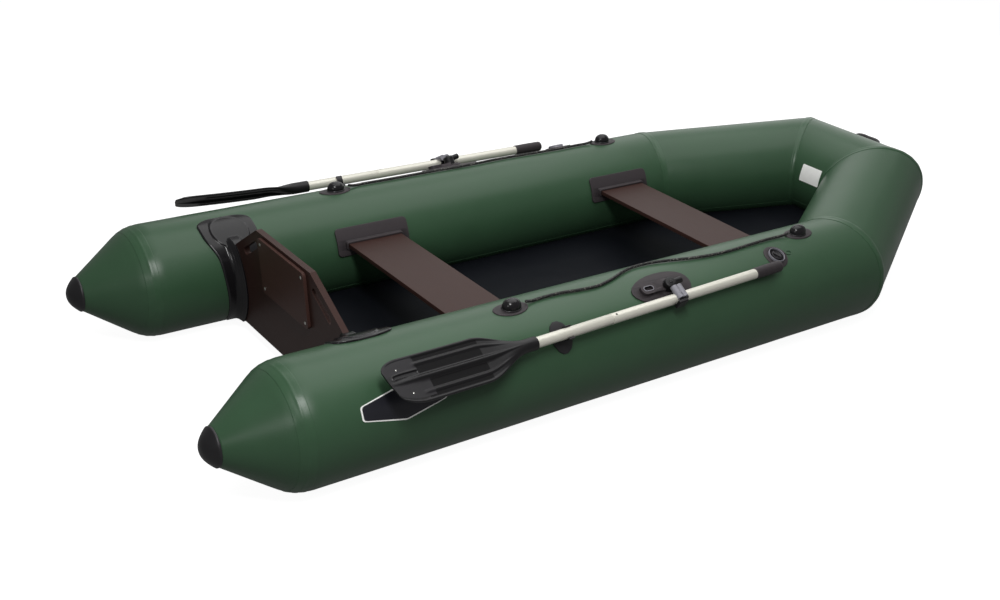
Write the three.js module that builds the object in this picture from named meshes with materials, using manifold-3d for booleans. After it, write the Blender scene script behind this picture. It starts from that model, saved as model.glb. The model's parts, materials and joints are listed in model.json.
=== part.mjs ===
// Inflatable rowing and motor dinghy with a raised bow, a plywood transom, two thwarts and two oars.
// Millimetres. +X bow, +Y port, +Z up; the origin is on the ground under the middle of the boat.
// Every fitting of a side is made for the starboard tube and mirrored for the port tube.
import * as THREE from "three";
import { mergeVertices } from "three/addons/utils/BufferGeometryUtils.js";
import Module from "manifold-3d";

const wasm = await Module();
wasm.setup();

// ---------- driving dimensions: hull ----------
const BOAT_LENGTH = 3010; // stern cap tip to the front of the bow
const BOAT_BEAM = 1320; // over the two side tubes
const TUBE_DIAMETER = 350;
const CONE_LENGTH = 174; // stern cone, seam to cap
const CAP_DIAMETER = 104; // stern cap where it meets the cone
const CAP_LENGTH = 36;
const SHOULDER_RADIUS = 330; // rounding between the side tube and the cone
const BOW_QUARTER_RUN = 551; // along X, bend to bend
const BOW_FRONT_WIDTH = 338; // between the two front bends, on the tube's axis
const BOW_RISE = 78; // of the front tube's axis above the side tubes' axes
const FLOOR_HEIGHT = 52; // underside of the floor sheet
const FLOOR_THICKNESS = 6;
const FIT_GAP = 0.3; // between pieces that touch

// ---------- driving dimensions: transom ----------
const TRANSOM_STATION = 304; // middle of the board at the ground, forward of the cone seam
const TRANSOM_RAKE = 5.3; // degrees, top leaning aft
const TRANSOM_THICKNESS = 18;
const TRANSOM_HEIGHT = 419; // top edge above the ground
const TRANSOM_BOTTOM = 40;
const TRANSOM_TOP_WIDTH = 334;
const TRANSOM_WING_WIDTH = 688; // across the wing tips
const TRANSOM_WING_HEIGHT = 302;
const WING_SLOT_LENGTH = 117; // carrying slot in each wing
const WING_SLOT_WIDTH = 24;
const WING_SLOT_PLACE = 0.42; // share of the way down the sloping edge
const WING_SLOT_INSET = 36; // slot's middle line below the sloping edge
const PAD_WIDTH = 286;
const PAD_HEIGHT = 180;
const PAD_TOP_DROP = 10; // pad's top edge below the board's top edge
const OUTER_PAD_THICKNESS = 10;
const INNER_PAD_THICKNESS = 6;
const HOLDER_THICKNESS = 6; // moulded band round the tube that carries the board
const HOLDER_WIDTH = 178;
const HOLDER_WAIST_WIDTH = 134;
const HOLDER_FOOT_WIDTH = 118;
const HOLDER_CORNER = 13; // degrees of arc over which its top corners round off
const HOLDER_DISC = 124; // raised disc at its top
const HOLDER_DISC_ANGLE = -31;
const HOLDER_DISC_HEIGHT = 4;
const HOLDER_TOP_ANGLE = -9; // degrees from the tube's top, negative is inboard
const HOLDER_FOOT_ANGLE = -141;
const CHANNEL_WALL = 6; // each side of the board, at its top
const CHANNEL_SLOPE = 26; // wider at its foot
const CHANNEL_DEPTH = 22;
const CHANNEL_PLAY = 1.9; // board to its walls, as the board leans

// ---------- driving dimensions: thwarts ----------
const THWART_END_GAP = 4; // plank's end to the tube
const THWART_WIDTH = 196;
const THWART_THICKNESS = 14;
const THWART_TOP = 243; // above the ground
const THWART_CORNER = 6;
const AFT_THWART_STATION = 742; // forward of the cone seam
const FORE_THWART_SETBACK = 280; // aft of the side tube's front bend
const SOCKET_WIDTH = 266; // thwart holder along the tube
const SOCKET_PATCH_THICKNESS = 6;
const SOCKET_PATCH_HEIGHT = 92; // round the tube
const SOCKET_PATCH_RISE = 8; // its middle above the plank's, round the tube
const SOCKET_CORNER = 14;
const SOCKET_LIP = 6; // rubber above, below and beside the plank
const SOCKET_DEPTH = 13; // grip on the plank's end
const SOCKET_CLEARANCE = 0.6;

// ---------- driving dimensions: oars ----------
const SHAFT_DIAMETER = 31;
const OAR_TIP_STATION = 209;
const BLADE_NECK_STATION = 673; // mouth of the blade's socket
const SHAFT_JOINT_STATION = 944;
const OARLOCK_STATION = 1205;
const GRIP_START_STATION = 1524;
const GRIP_END_STATION = 1640;
const OAR_STANDOFF = 33; // oar's axis above the tube, at the oarlock
const OAR_ANGLE = 44.5; // degrees outboard of the tube's top, at the oarlock
const OAR_TOE_IN = 1.77; // degrees, handle end towards the middle of the boat
const OAR_PITCH = 0.5; // degrees, handle end up
const BLADE_WIDTH = 132;
const BLADE_THICKNESS = 5;
const BLADE_ROLL = 36; // degrees, blade's face from level, outboard edge down
const BLADE_LIFT = 18; // tip above the shaft's line, the blade being slightly spooned
const BLADE_TIP_RUN = 0.16; // share of the blade's length over which the tip rounds off
const BLADE_FLARE_FROM = 0.6; // shares of the length between which the edges draw in to the socket
const BLADE_FLARE_TO = 0.93;
const BLADE_SPINE_HEIGHT = 9;
const BLADE_SPINE_HALF = 0.13; // share of the blade's half width
const BLADE_RIB_HEIGHT = 4;
const BLADE_RIB_PLACE = 0.55; // ribs' middle and half width, shares of the half width
const BLADE_RIB_HALF = 0.1;
const BLADE_SOCKET_WALL = 3.5;
const SOCKET_BORE_DEPTH = 62;
const GRIP_WALL = 1.6;
const GRIP_PLUG = 6; // closed end
const SLIP_GAP = 0.4; // shaft in collar, socket and grip

// ---------- driving dimensions: oarlocks and clips ----------
const SWING_TILT = 30; // degrees, oarlock's post leaning outboard
const SWING_LEAN = 10; // degrees, post leaning aft, so that the blade rises as it swings out
const LOCK_BASE_LENGTH = 220; // egg-shaped base glued to the tube, its point aft
const LOCK_BASE_WIDTH = 112;
const LOCK_BASE_THICKNESS = 3.5;
const LOCK_BASE_SETBACK = 12; // base's middle aft of the post
const LOCK_BASE_ANGLE = 27;
const LOCK_EYE_SETBACK = 66; // eyelet's middle aft of the post
const LOCK_EYE_LENGTH = 54;
const LOCK_EYE_WIDTH = 36;
const LOCK_EYE_WALL = 10.5; // round its hole
const LOCK_EYE_HEIGHT = 14;
const LOCK_RIDGE = [
  // distance from the eyelet's middle, half width at the foot and at the top, height
  [-24, 13, 10, 8],
  [52, 27, 20, 16],
];
const BOSS_DIAMETER = 62;
const BOSS_HEIGHT = 9;
const BOSS_FLARE = 4; // wider at the foot
const BOSS_WALL = 5; // round the swivel
const SWIVEL_DIAMETER = 36;
const SWIVEL_HEIGHT = 40; // above the tube
const SWIVEL_CROWN = 6; // rounding of its top
const SWIVEL_BOLT_DIAMETER = 12;
const SWIVEL_BOLT_HEIGHT = 2.5;
const STUB_DIAMETER = 19; // plug in the swivel's front
const STUB_REACH = 40;
const STUB_RISE = 2; // above the pin
const PIN_DIAMETER = 10;
const PIN_END_GAP = 4; // pin's end to the oar
const SLEEVE_DIAMETER = 19;
const SLEEVE_PITCH = 15; // between the two barrels of the sleeve
const COLLAR_DIAMETER = 45;
const COLLAR_LENGTH = 28;
const COLLAR_EAR_WIDTH = 16; // bolt block on the collar's outer side
const COLLAR_EAR_DEPTH = 12;
const PIN_CLEARANCE = 0.6;
const CLIP_STATION = 788;
const CLIP_BASE_LENGTH = 68; // along the tube
const CLIP_BASE_WIDTH = 96; // round the tube
const CLIP_BASE_THICKNESS = 3;
const CLIP_WALL = 5;
const CLIP_WIDTH = 20;
const CLIP_PEDESTAL_LENGTH = 30;
const CLIP_PEDESTAL_WIDTH = 26;
const CLIP_MOUTH = 124; // degrees, opening of the clip's jaws

// ---------- driving dimensions: lifelines, valves, trim ----------
const ROPE_DIAMETER = 9;
const ROPE_HOLDER_LENGTH = 112;
const ROPE_HOLDER_WIDTH = 64;
const ROPE_HOLDER_BASE = 3.5;
const HOOD_LENGTH = 74;
const HOOD_WIDTH = 47;
const HOOD_HEIGHT = 28;
const HOOD_SETBACK = 9; // of the hood's cut face from its round end
const ROPE_LIFT = 6; // rise of the rope into the hood's mouth
const ROPE_LIFT_RUN = 40; // length of that rise
const ROPE_CLEARANCE = 0.4; // rope to the tube
const VALVE_SETBACK = 398; // aft of the side tube's front bend
const VALVE_ANGLE = 27;
const VALVE_FLANGE_DIAMETER = 84;
const VALVE_FLANGE_THICKNESS = 2.5;
const VALVE_RIM_DIAMETER = 55;
const VALVE_RIM_HEIGHT = 10;
const VALVE_RIM_WALL = 4;
const VALVE_FLOOR = 4; // bottom of the ring round the cap
const VALVE_CAP_DIAMETER = 34;
const HANDLE_ANGLE = 50; // degrees forward of the front tube's top
const HANDLE_SPAN = 116;
const HANDLE_HEIGHT = 34;
const HANDLE_BAR = 14;
const HANDLE_BAR_WIDTH = 20;
const HANDLE_PAD = 54;
const HANDLE_PAD_THICKNESS = 4;
const LABEL_WIDTH = 92;
const LABEL_HEIGHT = 64;
const LABEL_ANGLE = -79;
const LABEL_OFFSET = -15; // along Y
const PANEL_STATION = 273;
const PANEL_ANGLE = 64;
const PANEL_LENGTH = 250;
const PANEL_WIDTH = 96;
const PANEL_CORNER = 24;
const TRIM_THICKNESS = 1.2; // label and side panel

// lifeline points: share of the way from the rear holder to the front one, degrees from the tube's top
const STARBOARD_LIFELINE = [
  [0.045, 4], [0.09, 2], [0.152, 2], [0.212, 5], [0.264, 6], [0.323, 1], [0.377, -7], [0.424, -12],
  [0.473, -12], [0.518, -8], [0.56, -3], [0.6, 1], [0.668, 4.5], [0.738, 5], [0.814, 3.5], [0.898, 2.5],
  [0.955, 4],
];
const PORT_LIFELINE = [
  [0.045, 4], [0.09, 6.5], [0.17, 6], [0.32, 6], [0.464, 5], [0.582, 7], [0.695, 5.5], [0.812, 4], [0.905, 5],
  [0.955, 4],
];
const REAR_HOLDER_STATION = 697; // forward of the cone seam
const FRONT_HOLDER_SETBACK = 229; // aft of the side tube's front bend
const ROPE_HOLDER_ANGLE = 4;

// ---------- derived places ----------
const TUBE_R = TUBE_DIAMETER / 2;
const SEAT_R = TUBE_R + FIT_GAP + 0.15; // what is glued on sits this far from the tube's axis
const TUBE_Y = BOAT_BEAM / 2 - TUBE_R;
const CONE_X = -BOAT_LENGTH / 2 + CAP_LENGTH + CONE_LENGTH;
const BOW_X = BOAT_LENGTH / 2 - TUBE_R;
const BEND_X = BOW_X - BOW_QUARTER_RUN;
const BEND_STATION = BEND_X - CONE_X;
const BOW_Y = BOW_FRONT_WIDTH / 2;
const BOW_Z = TUBE_R + BOW_RISE;
const SHAFT_R = SHAFT_DIAMETER / 2;
const SINK = TUBE_R / 6; // raw solids start this far inside a tube, which is then cut away
const THWART_MIDDLE = THWART_TOP - THWART_THICKNESS / 2;
const TUBE_HALF_AT_THWART = Math.sqrt(TUBE_R ** 2 - (THWART_MIDDLE - TUBE_R) ** 2);
const THWART_LENGTH = 2 * (TUBE_Y - TUBE_HALF_AT_THWART - THWART_END_GAP);
const THWART_STATIONS = { aft: AFT_THWART_STATION, fore: BEND_STATION - FORE_THWART_SETBACK };
const ROPE_HOLDER_STATIONS = { rear: REAR_HOLDER_STATION, front: BEND_STATION - FRONT_HOLDER_SETBACK };
const VALVE_STATION = BEND_STATION - VALVE_SETBACK;
const TUBE_SIDES = 72;
const SEAT_SIDES = 72;

const STERN_POINT = new THREE.Vector3(CONE_X, -TUBE_Y, TUBE_R);
const BEND_POINT = new THREE.Vector3(BEND_X, -TUBE_Y, TUBE_R);
const FRONT_POINT = new THREE.Vector3(BOW_X, -BOW_Y, BOW_Z);

const rad = THREE.MathUtils.degToRad;
const station = (distance) => CONE_X + distance;
const vec = (x, y, z) => new THREE.Vector3(x, y, z);

// ---------- materials ----------
const MATERIALS = {
  pvc_green: { color: 0x3c5a40, roughness: 0.42, metalness: 0 },
  moulded_black: { color: 0x1d1c1e, roughness: 0.45, metalness: 0 },
  moulded_grey: { color: 0x3f3b40, roughness: 0.5, metalness: 0 },
  floor_fabric: { color: 0x14161d, roughness: 0.6, metalness: 0 },
  plywood: { color: 0x4d3a35, roughness: 0.4, metalness: 0 },
  aluminium: { color: 0xc9c8bd, roughness: 0.35, metalness: 0.6 },
  rope: { color: 0x161618, roughness: 0.9, metalness: 0 },
  label_white: { color: 0xe8e8e4, roughness: 0.5, metalness: 0 },
};

function material(name) {
  return new THREE.MeshStandardMaterial(MATERIALS[name]);
}

// ---------- solids ----------
function signedVolume(geometry) {
  const place = geometry.attributes.position;
  const index = geometry.index;
  const corners = [vec(0, 0, 0), vec(0, 0, 0), vec(0, 0, 0)];
  let sum = 0;
  for (let i = 0; i < index.count; i += 3) {
    corners.forEach((corner, k) => corner.fromBufferAttribute(place, index.getX(i + k)));
    sum += corners[0].dot(corners[1].clone().cross(corners[2]));
  }
  return sum / 6;
}

function flipped(geometry) {
  const index = geometry.index.array;
  for (let i = 0; i < index.length; i += 3) {
    [index[i + 1], index[i + 2]] = [index[i + 2], index[i + 1]];
  }
  return geometry;
}

// closed, merged and facing out, whatever way its outline ran
function closed(geometry) {
  const bare = geometry.clone();
  bare.deleteAttribute("normal");
  bare.deleteAttribute("uv");
  const merged = mergeVertices(bare, 1e-3);
  return signedVolume(merged) < 0 ? flipped(merged) : merged;
}

function solid(geometry, matrix) {
  const placed = closed(matrix ? geometry.clone().applyMatrix4(matrix) : geometry);
  return new wasm.Manifold(new wasm.Mesh({
    numProp: 3,
    vertProperties: new Float32Array(placed.attributes.position.array),
    triVerts: new Uint32Array(placed.index.array),
  }));
}

function geometryOf(body) {
  const mesh = body.getMesh();
  const geometry = new THREE.BufferGeometry();
  geometry.setAttribute("position", new THREE.BufferAttribute(new Float32Array(mesh.vertProperties), 3));
  geometry.setIndex(new THREE.BufferAttribute(new Uint32Array(mesh.triVerts), 1));
  return geometry;
}

function joined(...bodies) {
  return bodies.reduce((sum, body) => sum.add(body));
}

function mirrored(geometry) {
  return flipped(geometry.clone().applyMatrix4(new THREE.Matrix4().makeScale(1, -1, 1)));
}

// skin over rings of equal length, closed at both ends by a fan
function loft(rings) {
  const size = rings[0].length;
  const points = rings.flat();
  const faces = [];
  for (let i = 0; i + 1 < rings.length; i += 1) {
    for (let j = 0; j < size; j += 1) {
      const k = (j + 1) % size;
      const [a, b, c, d] = [i * size + j, i * size + k, (i + 1) * size + k, (i + 1) * size + j];
      faces.push(a, b, c, a, c, d);
    }
  }
  for (const [ring, turn] of [[0, true], [rings.length - 1, false]]) {
    const middle = rings[ring].reduce((sum, p) => sum.add(p), vec(0, 0, 0)).divideScalar(size);
    const hub = points.push(middle) - 1;
    for (let j = 0; j < size; j += 1) {
      const [a, b] = [ring * size + j, ring * size + ((j + 1) % size)];
      faces.push(...(turn ? [hub, b, a] : [hub, a, b]));
    }
  }
  const geometry = new THREE.BufferGeometry().setFromPoints(points);
  geometry.setIndex(faces);
  return geometry;
}

// turned solid about +Z from a profile of [radius, height] points that starts and ends on the axis
function turned(profile, sides = 24) {
  const points = profile.map(([radius, height]) => new THREE.Vector2(radius, height));
  return new THREE.LatheGeometry(points, sides).rotateX(Math.PI / 2);
}

function drum(radius, low, high, sides = 24) {
  return turned([[0, low], [radius, low], [radius, high], [0, high]], sides);
}

function prism(shape, low, high, curveSegments = 3) {
  const options = { depth: high - low, bevelEnabled: false, curveSegments };
  return new THREE.ExtrudeGeometry(shape, options).translate(0, 0, low);
}

function roundedRectangle(length, width, corner) {
  const [x, y] = [length / 2, width / 2];
  const shape = new THREE.Shape();
  shape.moveTo(-x + corner, -y);
  shape.lineTo(x - corner, -y);
  shape.absarc(x - corner, -y + corner, corner, -Math.PI / 2, 0);
  shape.lineTo(x, y - corner);
  shape.absarc(x - corner, y - corner, corner, 0, Math.PI / 2);
  shape.lineTo(-x + corner, y);
  shape.absarc(-x + corner, y - corner, corner, Math.PI / 2, Math.PI);
  shape.lineTo(-x, -y + corner);
  shape.absarc(-x + corner, -y + corner, corner, Math.PI, 1.5 * Math.PI);
  return shape;
}

function ellipse(length, width) {
  return new THREE.Shape().absellipse(0, 0, length / 2, width / 2, 0, 2 * Math.PI);
}

function basis(x, y, z, origin) {
  return new THREE.Matrix4().makeBasis(x, y, z).setPosition(origin);
}

// ---------- places on the starboard tube ----------
function outward(angle) {
  return vec(0, -Math.sin(rad(angle)), Math.cos(rad(angle)));
}

function inboard(angle) {
  return vec(0, Math.cos(rad(angle)), Math.sin(rad(angle)));
}

function onTube(distance, angle, radius = TUBE_R) {
  return vec(station(distance), -TUBE_Y, TUBE_R).addScaledVector(outward(angle), radius);
}

// frame on the tube: x forward, y round the tube towards the middle of the boat, z outward
function tubeFrame(distance, angle, radius = TUBE_R) {
  return basis(vec(1, 0, 0), inboard(angle), outward(angle), onTube(distance, angle, radius));
}

// cylinder from one point to another, run on past both ends
function rod(from, to, radius, sides, overrun = 0) {
  const along = to.clone().sub(from).normalize();
  const start = from.clone().addScaledVector(along, -overrun);
  const finish = to.clone().addScaledVector(along, overrun);
  const turn = new THREE.Quaternion().setFromUnitVectors(vec(0, 0, 1), along);
  const place = new THREE.Matrix4().makeRotationFromQuaternion(turn).setPosition(start);
  return drum(radius, 0, start.distanceTo(finish), sides).applyMatrix4(place);
}

const SEAT_FROM = STERN_POINT.clone().setX(-BOAT_LENGTH);
const SIDE_SEAT = solid(rod(SEAT_FROM, BEND_POINT.clone().setX(BOAT_LENGTH), SEAT_R, SEAT_SIDES));
const PORT_FRONT = FRONT_POINT.clone().setY(BOW_Y);
const FRONT_SEAT = solid(rod(FRONT_POINT, PORT_FRONT, SEAT_R, SEAT_SIDES, TUBE_DIAMETER));

// sheet of even thickness glued round the starboard tube, with its outline seen square on
function tubePatch(shape, distance, angle, thickness, curveSegments = 3) {
  const [from, to] = [station(distance - BOW_QUARTER_RUN), station(distance + BOW_QUARTER_RUN)];
  const start = STERN_POINT.clone().setX(from);
  const skin = solid(rod(start, start.clone().setX(to), SEAT_R + thickness, SEAT_SIDES));
  const cutter = solid(prism(shape, -TUBE_R / 2, TUBE_R / 2, curveSegments), tubeFrame(distance, angle));
  return skin.intersect(cutter).subtract(SIDE_SEAT);
}

// ---------- tubes ----------
// ring where a tube's long lines meet a plane
function mitreRing(point, along, normal, radius) {
  const side = vec(0, 0, 1).cross(along).normalize();
  const rise = along.clone().cross(side);
  const ring = [];
  for (let i = 0; i < TUBE_SIDES; i += 1) {
    const turn = (2 * Math.PI * i) / TUBE_SIDES;
    const spoke = side.clone().multiplyScalar(radius * Math.cos(turn));
    spoke.addScaledVector(rise, radius * Math.sin(turn));
    const shift = -spoke.dot(normal) / along.dot(normal);
    ring.push(point.clone().add(spoke).addScaledVector(along, shift));
  }
  return ring;
}

// tube between two points, each end cut on the plane halfway to the next tube
function tubeLength(from, to, before, after) {
  const along = to.clone().sub(from).normalize();
  const start = from.clone().addScaledVector(along, FIT_GAP / 2);
  const finish = to.clone().addScaledVector(along, -FIT_GAP / 2);
  const startNormal = along.clone().add(before);
  const finishNormal = along.clone().add(after);
  const rings = [
    mitreRing(start, along, startNormal, TUBE_R),
    mitreRing(finish, along, finishNormal, TUBE_R),
  ];
  return loft(rings);
}

const ALONG_SIDE = vec(1, 0, 0);
const ALONG_QUARTER = FRONT_POINT.clone().sub(BEND_POINT).normalize();
const ALONG_FRONT = vec(0, 1, 0);
const ALONG_PORT_QUARTER = vec(-ALONG_QUARTER.x, ALONG_QUARTER.y, -ALONG_QUARTER.z);

function sideTube() {
  const finish = BEND_POINT.clone().addScaledVector(ALONG_SIDE, -FIT_GAP / 2);
  const rings = [FIT_GAP / 2, 28, 56, 84, 112].map((forward) => mitreRing(
    STERN_POINT.clone().setX(CONE_X + forward), ALONG_SIDE, ALONG_SIDE, TUBE_R - coneDrop(-forward),
  ));
  rings.push(mitreRing(finish, ALONG_SIDE, ALONG_SIDE.clone().add(ALONG_QUARTER), TUBE_R));
  return loft(rings);
}

function bowQuarter() {
  return tubeLength(BEND_POINT, FRONT_POINT, ALONG_SIDE, ALONG_FRONT);
}

function bowFront() {
  return tubeLength(FRONT_POINT, PORT_FRONT, ALONG_QUARTER, ALONG_PORT_QUARTER);
}

// turned about the starboard tube's axis, its profile given as [radius, distance aft of the cone seam]
function sternTurned(profile, sides) {
  const along = basis(vec(0, 0, 1), vec(0, -1, 0), vec(1, 0, 0), STERN_POINT);
  return turned(profile.map(([radius, aft]) => [radius, -aft]), sides).applyMatrix4(along);
}

// how far the stern is drawn in from the tube's radius, at a distance aft of the cone seam
function coneDrop(aft) {
  const slope = Math.atan2(TUBE_R - CAP_DIAMETER / 2, CONE_LENGTH);
  const run = SHOULDER_RADIUS * Math.tan(slope / 2);
  if (aft <= -run) {
    return 0;
  }
  if (aft < run * Math.cos(slope)) {
    return SHOULDER_RADIUS - Math.sqrt(SHOULDER_RADIUS ** 2 - (aft + run) ** 2);
  }
  return aft * Math.tan(slope);
}

function sternCone() {
  const profile = [[0, FIT_GAP / 2]];
  for (const share of [0, 0.18, 0.36, 0.54, 1]) {
    const aft = FIT_GAP / 2 + share * (CONE_LENGTH - FIT_GAP * 1.5);
    profile.push([TUBE_R - coneDrop(aft), aft]);
  }
  return sternTurned([...profile, [0, CONE_LENGTH - FIT_GAP]], TUBE_SIDES);
}

function sternCap() {
  const profile = [[0, CONE_LENGTH]];
  const steps = 7;
  const rim = CAP_DIAMETER / 2 + 1.5;
  for (let i = 0; i <= steps; i += 1) {
    const share = Math.sin((i / steps) * (Math.PI / 2));
    profile.push([rim * (1 - share) ** 0.42 * (1 - 0.1 * share), CONE_LENGTH + CAP_LENGTH * share]);
  }
  profile[profile.length - 1][0] = 0;
  return sternTurned(profile, 36);
}

// ---------- floor ----------
// sheet glued between the tubes; forward of the bends it rises with the bow
function floorSheet() {
  const sections = [
    [floorStart(), TUBE_Y, 0],
    [BEND_X, TUBE_Y, 0],
    [BOW_X, BOW_Y, BOW_RISE],
  ];
  const [low, high] = [FLOOR_HEIGHT, FLOOR_HEIGHT + FLOOR_THICKNESS];
  const blank = solid(loft(sections.map(([x, y, rise]) => [
    vec(x, -y, low + rise), vec(x, y, low + rise), vec(x, y, high + rise), vec(x, -y, high + rise),
  ])));
  const quarter = rod(BEND_POINT, FRONT_POINT, SEAT_R, SEAT_SIDES, TUBE_DIAMETER);
  const side = rod(STERN_POINT, BEND_POINT, SEAT_R, SEAT_SIDES, TUBE_R);
  const cutters = [quarter, mirrored(closed(quarter)), side, mirrored(closed(side))];
  const sheet = cutters.reduce((body, cutter) => body.subtract(solid(cutter)), blank);
  return geometryOf(sheet.subtract(FRONT_SEAT));
}

// ---------- transom ----------
// X of the board's middle at a height above the ground
function boardMiddle(height) {
  return station(TRANSOM_STATION) - Math.tan(rad(TRANSOM_RAKE)) * height;
}

// from the board's middle to its face, along X
const boardHalf = () => TRANSOM_THICKNESS / 2 / Math.cos(rad(TRANSOM_RAKE));

function floorStart() {
  return boardMiddle(FLOOR_HEIGHT) + boardHalf() + FIT_GAP;
}

// frame of the board: x to starboard, y up the board, z aft, its origin under the board on the ground
function transomFrame() {
  const up = vec(-Math.sin(rad(TRANSOM_RAKE)), 0, Math.cos(rad(TRANSOM_RAKE)));
  const starboard = vec(0, -1, 0);
  return basis(starboard, up, starboard.clone().cross(up), vec(station(TRANSOM_STATION), 0, 0));
}

// the board's own height of a point at a height above the ground
const upBoard = (height) => height / Math.cos(rad(TRANSOM_RAKE));

function wingSlope() {
  const run = (TRANSOM_WING_WIDTH - TRANSOM_TOP_WIDTH) / 2;
  return Math.atan2(TRANSOM_HEIGHT - TRANSOM_WING_HEIGHT, run);
}

function transomBoard() {
  const [top, wing] = [TRANSOM_TOP_WIDTH / 2, TRANSOM_WING_WIDTH / 2];
  const outline = new THREE.Shape();
  outline.moveTo(-wing, upBoard(TRANSOM_BOTTOM));
  outline.lineTo(wing, upBoard(TRANSOM_BOTTOM));
  outline.lineTo(wing, upBoard(TRANSOM_WING_HEIGHT));
  outline.lineTo(top, upBoard(TRANSOM_HEIGHT));
  outline.lineTo(-top, upBoard(TRANSOM_HEIGHT));
  outline.lineTo(-wing, upBoard(TRANSOM_WING_HEIGHT));
  outline.closePath();
  let board = solid(prism(outline, -TRANSOM_THICKNESS / 2, TRANSOM_THICKNESS / 2), transomFrame());
  const holderSeat = SEAT_R + HOLDER_THICKNESS + HOLDER_DISC_HEIGHT + FIT_GAP;
  const seat = rod(SEAT_FROM, BEND_POINT, holderSeat, SEAT_SIDES);
  board = board.subtract(solid(seat)).subtract(solid(mirrored(closed(seat))));
  for (const side of [-1, 1]) {
    const slot = roundedRectangle(WING_SLOT_LENGTH, WING_SLOT_WIDTH, WING_SLOT_WIDTH / 2 - 0.01);
    const cutter = prism(slot, -TRANSOM_THICKNESS, TRANSOM_THICKNESS, 4);
    cutter.rotateZ(-side * wingSlope());
    const edgeX = top + WING_SLOT_PLACE * (wing - top);
    const edgeY = TRANSOM_HEIGHT - WING_SLOT_PLACE * (TRANSOM_HEIGHT - TRANSOM_WING_HEIGHT);
    const middleY = edgeY - WING_SLOT_INSET * Math.cos(wingSlope());
    cutter.translate(side * (edgeX - WING_SLOT_INSET * Math.sin(wingSlope())), upBoard(middleY), 0);
    board = board.subtract(solid(cutter, transomFrame()));
  }
  return geometryOf(board);
}

// pad on one face of the board: aft when side is 1, forward when it is -1
function transomPad(side, thickness) {
  const low = TRANSOM_THICKNESS / 2 + FIT_GAP;
  const pad = prism(roundedRectangle(PAD_WIDTH, PAD_HEIGHT, 14), low, low + thickness);
  if (side < 0) {
    pad.translate(0, 0, -2 * low - thickness);
  }
  pad.translate(0, upBoard(TRANSOM_HEIGHT - PAD_TOP_DROP) - PAD_HEIGHT / 2, 0);
  return pad.applyMatrix4(transomFrame());
}

// band bent round the tube: table rows are angle, half width, inner and outer radius, X of its middle, and
// how far its outer edges are drawn in, first the aft one and then the forward one
function tubeBand(rows) {
  return solid(loft(rows.map(([angle, half, inner, outer, middle, aft = 0, forward = 0]) => {
    const corner = (x, radius) => vec(middle + x, -TUBE_Y, TUBE_R).addScaledVector(outward(angle), radius);
    return [corner(-half, inner), corner(half, inner), corner(half - forward, outer), corner(-half + aft, outer)];
  })));
}

function boardX(angle, radius) {
  return boardMiddle(TUBE_R + radius * Math.cos(rad(angle)));
}

// half width of the holder's band at an angle round the tube
function holderHalf(angle) {
  const run = Math.min(1, (HOLDER_TOP_ANGLE - angle) / HOLDER_CORNER);
  const corner = Math.max(0.3, 1 - (1 - run) ** 3) ** 0.5;
  const waist = HOLDER_DISC_ANGLE * 2;
  const below = THREE.MathUtils.clamp((HOLDER_DISC_ANGLE - angle) / (HOLDER_DISC_ANGLE - waist), 0, 1);
  const foot = THREE.MathUtils.clamp((waist - angle) / (waist - HOLDER_FOOT_ANGLE), 0, 1);
  const width = HOLDER_WIDTH - (HOLDER_WIDTH - HOLDER_WAIST_WIDTH) * below;
  return (corner * (width - (HOLDER_WAIST_WIDTH - HOLDER_FOOT_WIDTH) * foot)) / 2;
}

function transomHolder() {
  const rows = [];
  const steps = 22;
  const span = HOLDER_FOOT_ANGLE - HOLDER_TOP_ANGLE;
  const outer = SEAT_R + HOLDER_THICKNESS;
  for (let i = 0; i <= steps; i += 1) {
    const angle = HOLDER_TOP_ANGLE + span * (i / steps) ** 1.3;
    rows.push([angle, holderHalf(angle), SEAT_R - 1, outer, boardX(angle, TUBE_R)]);
  }
  const discFrame = tubeFrame(0, HOLDER_DISC_ANGLE, 0).setPosition(
    vec(boardX(HOLDER_DISC_ANGLE, TUBE_R), -TUBE_Y, TUBE_R),
  );
  const disc = solid(drum(HOLDER_DISC / 2, TUBE_R / 2, TUBE_R * 1.5, 36), discFrame);
  const raised = solid(rod(STERN_POINT, BEND_POINT, outer + HOLDER_DISC_HEIGHT, SEAT_SIDES)).intersect(disc);
  let body = tubeBand(rows).add(raised);
  const wallTop = HOLDER_DISC_ANGLE + 4;
  const half = boardHalf() + FIT_GAP + CHANNEL_PLAY;
  for (const side of [-1, 1]) {
    const walls = [];
    const wallSteps = 12;
    for (let i = 0; i <= wallSteps; i += 1) {
      const angle = wallTop + ((HOLDER_FOOT_ANGLE - wallTop) * i) / wallSteps;
      const rise = HOLDER_DISC_HEIGHT + CHANNEL_DEPTH * Math.min(1, i / 2.5, 0.3 + (wallSteps - i) / 3);
      const slope = CHANNEL_SLOPE * Math.min(1, 0.3 + i / 4);
      const middle = boardX(angle, outer + CHANNEL_DEPTH / 3) + side * (half + (CHANNEL_WALL + slope) / 2);
      const [aft, forward] = side < 0 ? [slope, 0] : [0, slope];
      walls.push([angle, (CHANNEL_WALL + slope) / 2, SEAT_R + 2, outer + rise, middle, aft, forward]);
    }
    body = body.add(tubeBand(walls));
  }
  const floorFrom = floorStart() - 1;
  const slit = new THREE.BoxGeometry(BOW_QUARTER_RUN, TUBE_DIAMETER, FLOOR_THICKNESS + 2);
  slit.translate(floorFrom + BOW_QUARTER_RUN / 2, -TUBE_Y + TUBE_R, FLOOR_HEIGHT + FLOOR_THICKNESS / 2);
  return geometryOf(body.subtract(SIDE_SEAT).subtract(solid(slit)));
}

// ---------- thwarts ----------
function thwart(name) {
  const plank = roundedRectangle(THWART_WIDTH, THWART_LENGTH, THWART_CORNER);
  const board = prism(plank, THWART_TOP - THWART_THICKNESS, THWART_TOP, 2);
  return board.translate(station(THWART_STATIONS[name]), 0, 0);
}

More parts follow.
